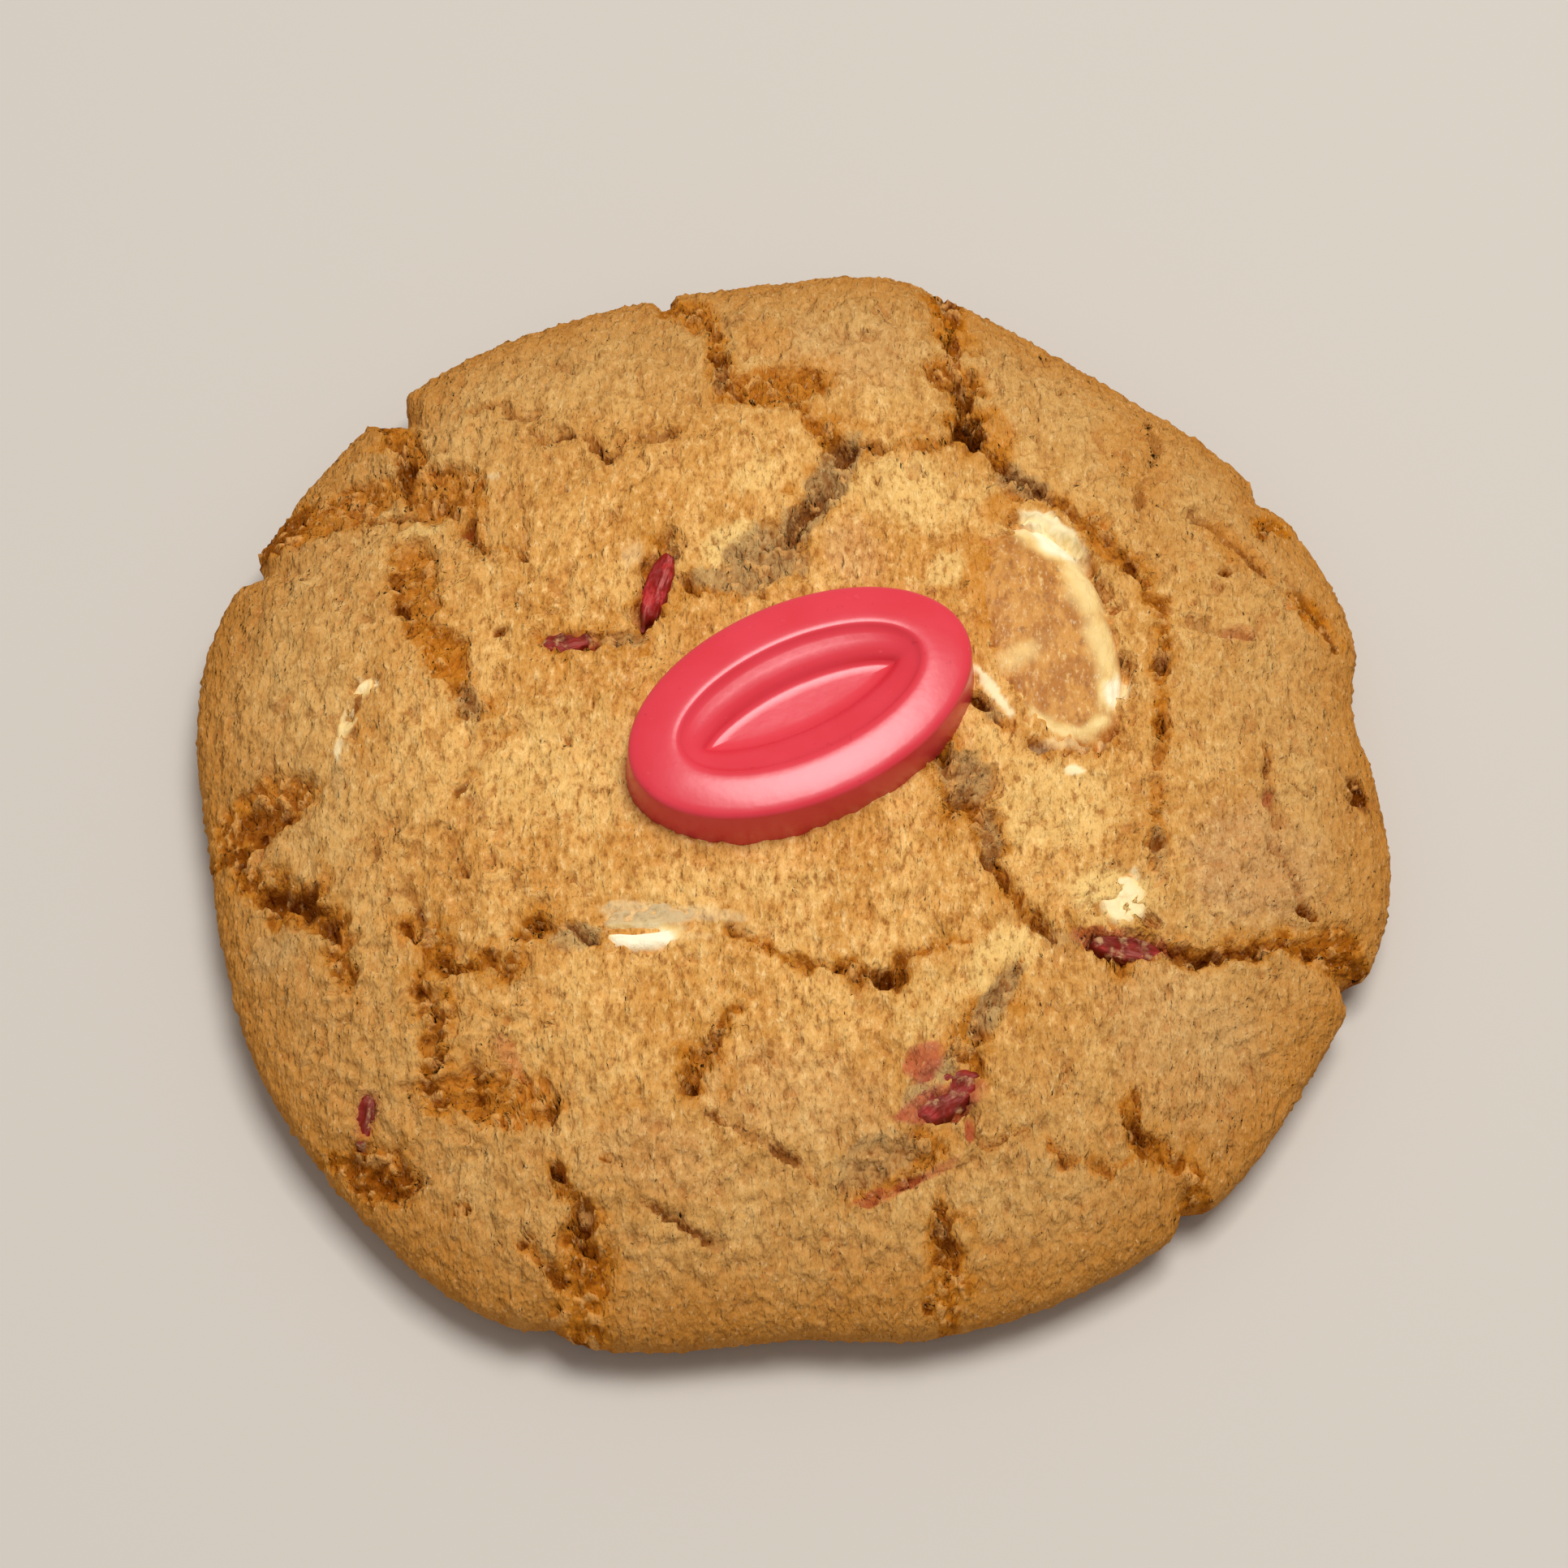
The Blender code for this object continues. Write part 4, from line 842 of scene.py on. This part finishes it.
# Rings from the underside up, over the crowned face and into the well: half length, half width,
# height, and how pointed its ends are
DISC_RINGS = [
    (14.05, 8.45, 0.0, 0), (14.15, 8.55, 0.2, 0), (13.95, 8.35, 2.2, 0), (13.82, 8.22, 4.0, 0),
    (13.76, 8.16, 4.22, 0), (13.64, 8.04, 4.38, 0), (13.42, 7.82, 4.5, 0), (13.0, 7.4, 4.62, 0),
    (12.4, 6.85, 4.75, 0), (11.7, 6.2, 4.87, 0), (11.0, 5.6, 4.96, 0), (10.5, 5.15, 5.0, 0),
    (10.15, 4.85, 4.98, 0), (9.95, 4.66, 4.93, 0), (9.8, 4.52, 4.82, 0), (9.65, 4.35, 4.66, 0),
    (9.4, 3.95, 4.5, 0.05), (9.1, 3.4, 4.34, 0.15), (8.75, 2.85, 4.16, 0.25), (8.45, 2.5, 3.98, 0.35),
    (8.2, 2.25, 3.78, 0.45), (8.0, 2.05, 3.5, 0.5), (7.8, 1.85, 3.32, 0.5), (7.3, 1.45, 3.22, 0.5),
    (6.0, 0.9, 3.2, 0.5), (4.0, 0.35, 3.2, 0.5),
]
bpy.ops.object.select_all(action="DESELECT")
bpy.ops.mesh.primitive_cylinder_add(vertices=DISC_SPOKES, radius=1, depth=2, end_fill_type="NGON")
disc = bpy.context.object
disc.name = disc.data.name = "moulded_disc"
bpy.ops.object.mode_set(mode="EDIT")
bpy.ops.mesh.select_mode(type="EDGE")
bpy.ops.mesh.select_all(action="DESELECT")
bpy.ops.object.mode_set(mode="OBJECT")
for edge in disc.data.edges:
    low, high = (disc.data.vertices[end].co.z for end in edge.vertices)
    edge.select = abs(low - high) > 1
bpy.ops.object.mode_set(mode="EDIT")
bpy.ops.mesh.subdivide(number_cuts=len(DISC_RINGS) - 2)
bpy.ops.object.mode_set(mode="OBJECT")
flat = np.empty(len(disc.data.vertices) * 3)
disc.data.vertices.foreach_get("co", flat)
around, across, level = flat.reshape(-1, 3).T
ring = np.array(DISC_RINGS)[np.round((level + 1) / 2 * (len(DISC_RINGS) - 1)).astype(int)]
along, across = ring[:, 0] * around, ring[:, 1] * across * np.abs(across) ** ring[:, 3]
c, s = math.cos(math.radians(DISC_TURN)), math.sin(math.radians(DISC_TURN))
x = DISC_FROM_MIDDLE.x + along * c - across * s
y = DISC_FROM_MIDDLE.y + along * s + across * c
settle(disc, x, y, DISC_BASE_HEIGHT + ring[:, 2])
bpy.ops.object.shade_smooth_by_angle(angle=math.radians(60))

COUVERTURE_LAYERS = [
    ("cloud", 0.35, 0.65, 0.5, "D83C4A"),
    ("freckle", 0.68, 0.76, 0.35, "B01C2C"),
    ("freckle", 0.3, 0.22, 0.3, "E4646E"),
]
couverture = bpy.data.materials.new("moulded_strawberry_couverture")
couverture.use_nodes = True
tree = couverture.node_tree
shader = tree.nodes["Principled BSDF"]
found = look_up(tree, {"cloud": (5.0, 3.0, 0.5), "freckle": (0.6, 2.0, 0.5), "ripple": (2.2, 3.0, 0.5)})
tree.links.new(paint(tree, found, "D2323E", COUVERTURE_LAYERS), shader.inputs["Base Color"])
shader.inputs["Roughness"].default_value = 0.29
shader.inputs["IOR"].default_value = 1.46
ripple = {"Strength": 0.3, "Distance": 0.1 * MM, "Height": found["ripple"]}
tree.links.new(add_node(tree, "ShaderNodeBump", {}, ripple).outputs[0], shader.inputs["Normal"])
disc.data.materials.append(couverture)
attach(disc, "root")
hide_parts("strawberry_disc")


# The plain pale floor, one large soft light nearly overhead, an even room, and the camera, which
# looks down from the front as in the photograph.
FLOOR_COLOUR = "C4BCB2"
LIGHT_PLACE = Vector((0.11, 0.10, 0.72))
LIGHT_WIDTH = 0.3
LIGHT_POWER = 4.9
ROOM_BRIGHTNESS = 0.38
CAMERA_ELEVATION = 65.0
CAMERA_DISTANCE = 0.30
CAMERA_VIEW_ANGLE = 22.6
CAMERA_AIM = Vector((-0.4, -2.1, 10.0))
bpy.ops.mesh.primitive_plane_add(size=4, location=(0, 0, cad_low.z - 0.00005))
floor = bpy.context.object
floor.name = "pale_floor"
painted = bpy.data.materials.new("matt_painted_board")
painted.use_nodes = True
shader = painted.node_tree.nodes["Principled BSDF"]
shader.inputs["Base Color"].default_value = colour(FLOOR_COLOUR)
shader.inputs["Roughness"].default_value = 0.9
floor.data.materials.append(painted)

bpy.ops.object.light_add(type="AREA", location=LIGHT_PLACE)
light = bpy.context.object
light.name = "soft_box"
light.data.shape = "SQUARE"
light.data.size = LIGHT_WIDTH
light.data.energy = LIGHT_POWER
light.rotation_euler = (-LIGHT_PLACE).to_track_quat("-Z", "Y").to_euler()
room = bpy.data.worlds.new("soft_room")
room.use_nodes = True
room.node_tree.nodes["Background"].inputs["Color"].default_value = (1.0, 0.985, 0.96, 1.0)
room.node_tree.nodes["Background"].inputs["Strength"].default_value = ROOM_BRIGHTNESS
bpy.context.scene.world = room
bpy.context.scene.view_settings.view_transform = "Standard"

aim = (CAMERA_AIM + dome_middle) * MM
rise = math.radians(CAMERA_ELEVATION)
back = Vector((0, -math.cos(rise), math.sin(rise)))
bpy.ops.object.camera_add(location=aim + back * CAMERA_DISTANCE, rotation=(math.pi / 2 - rise, 0, 0))
camera = bpy.context.object
camera.data.angle = math.radians(CAMERA_VIEW_ANGLE)
camera.data.clip_start = 0.01
bpy.context.scene.camera = camera
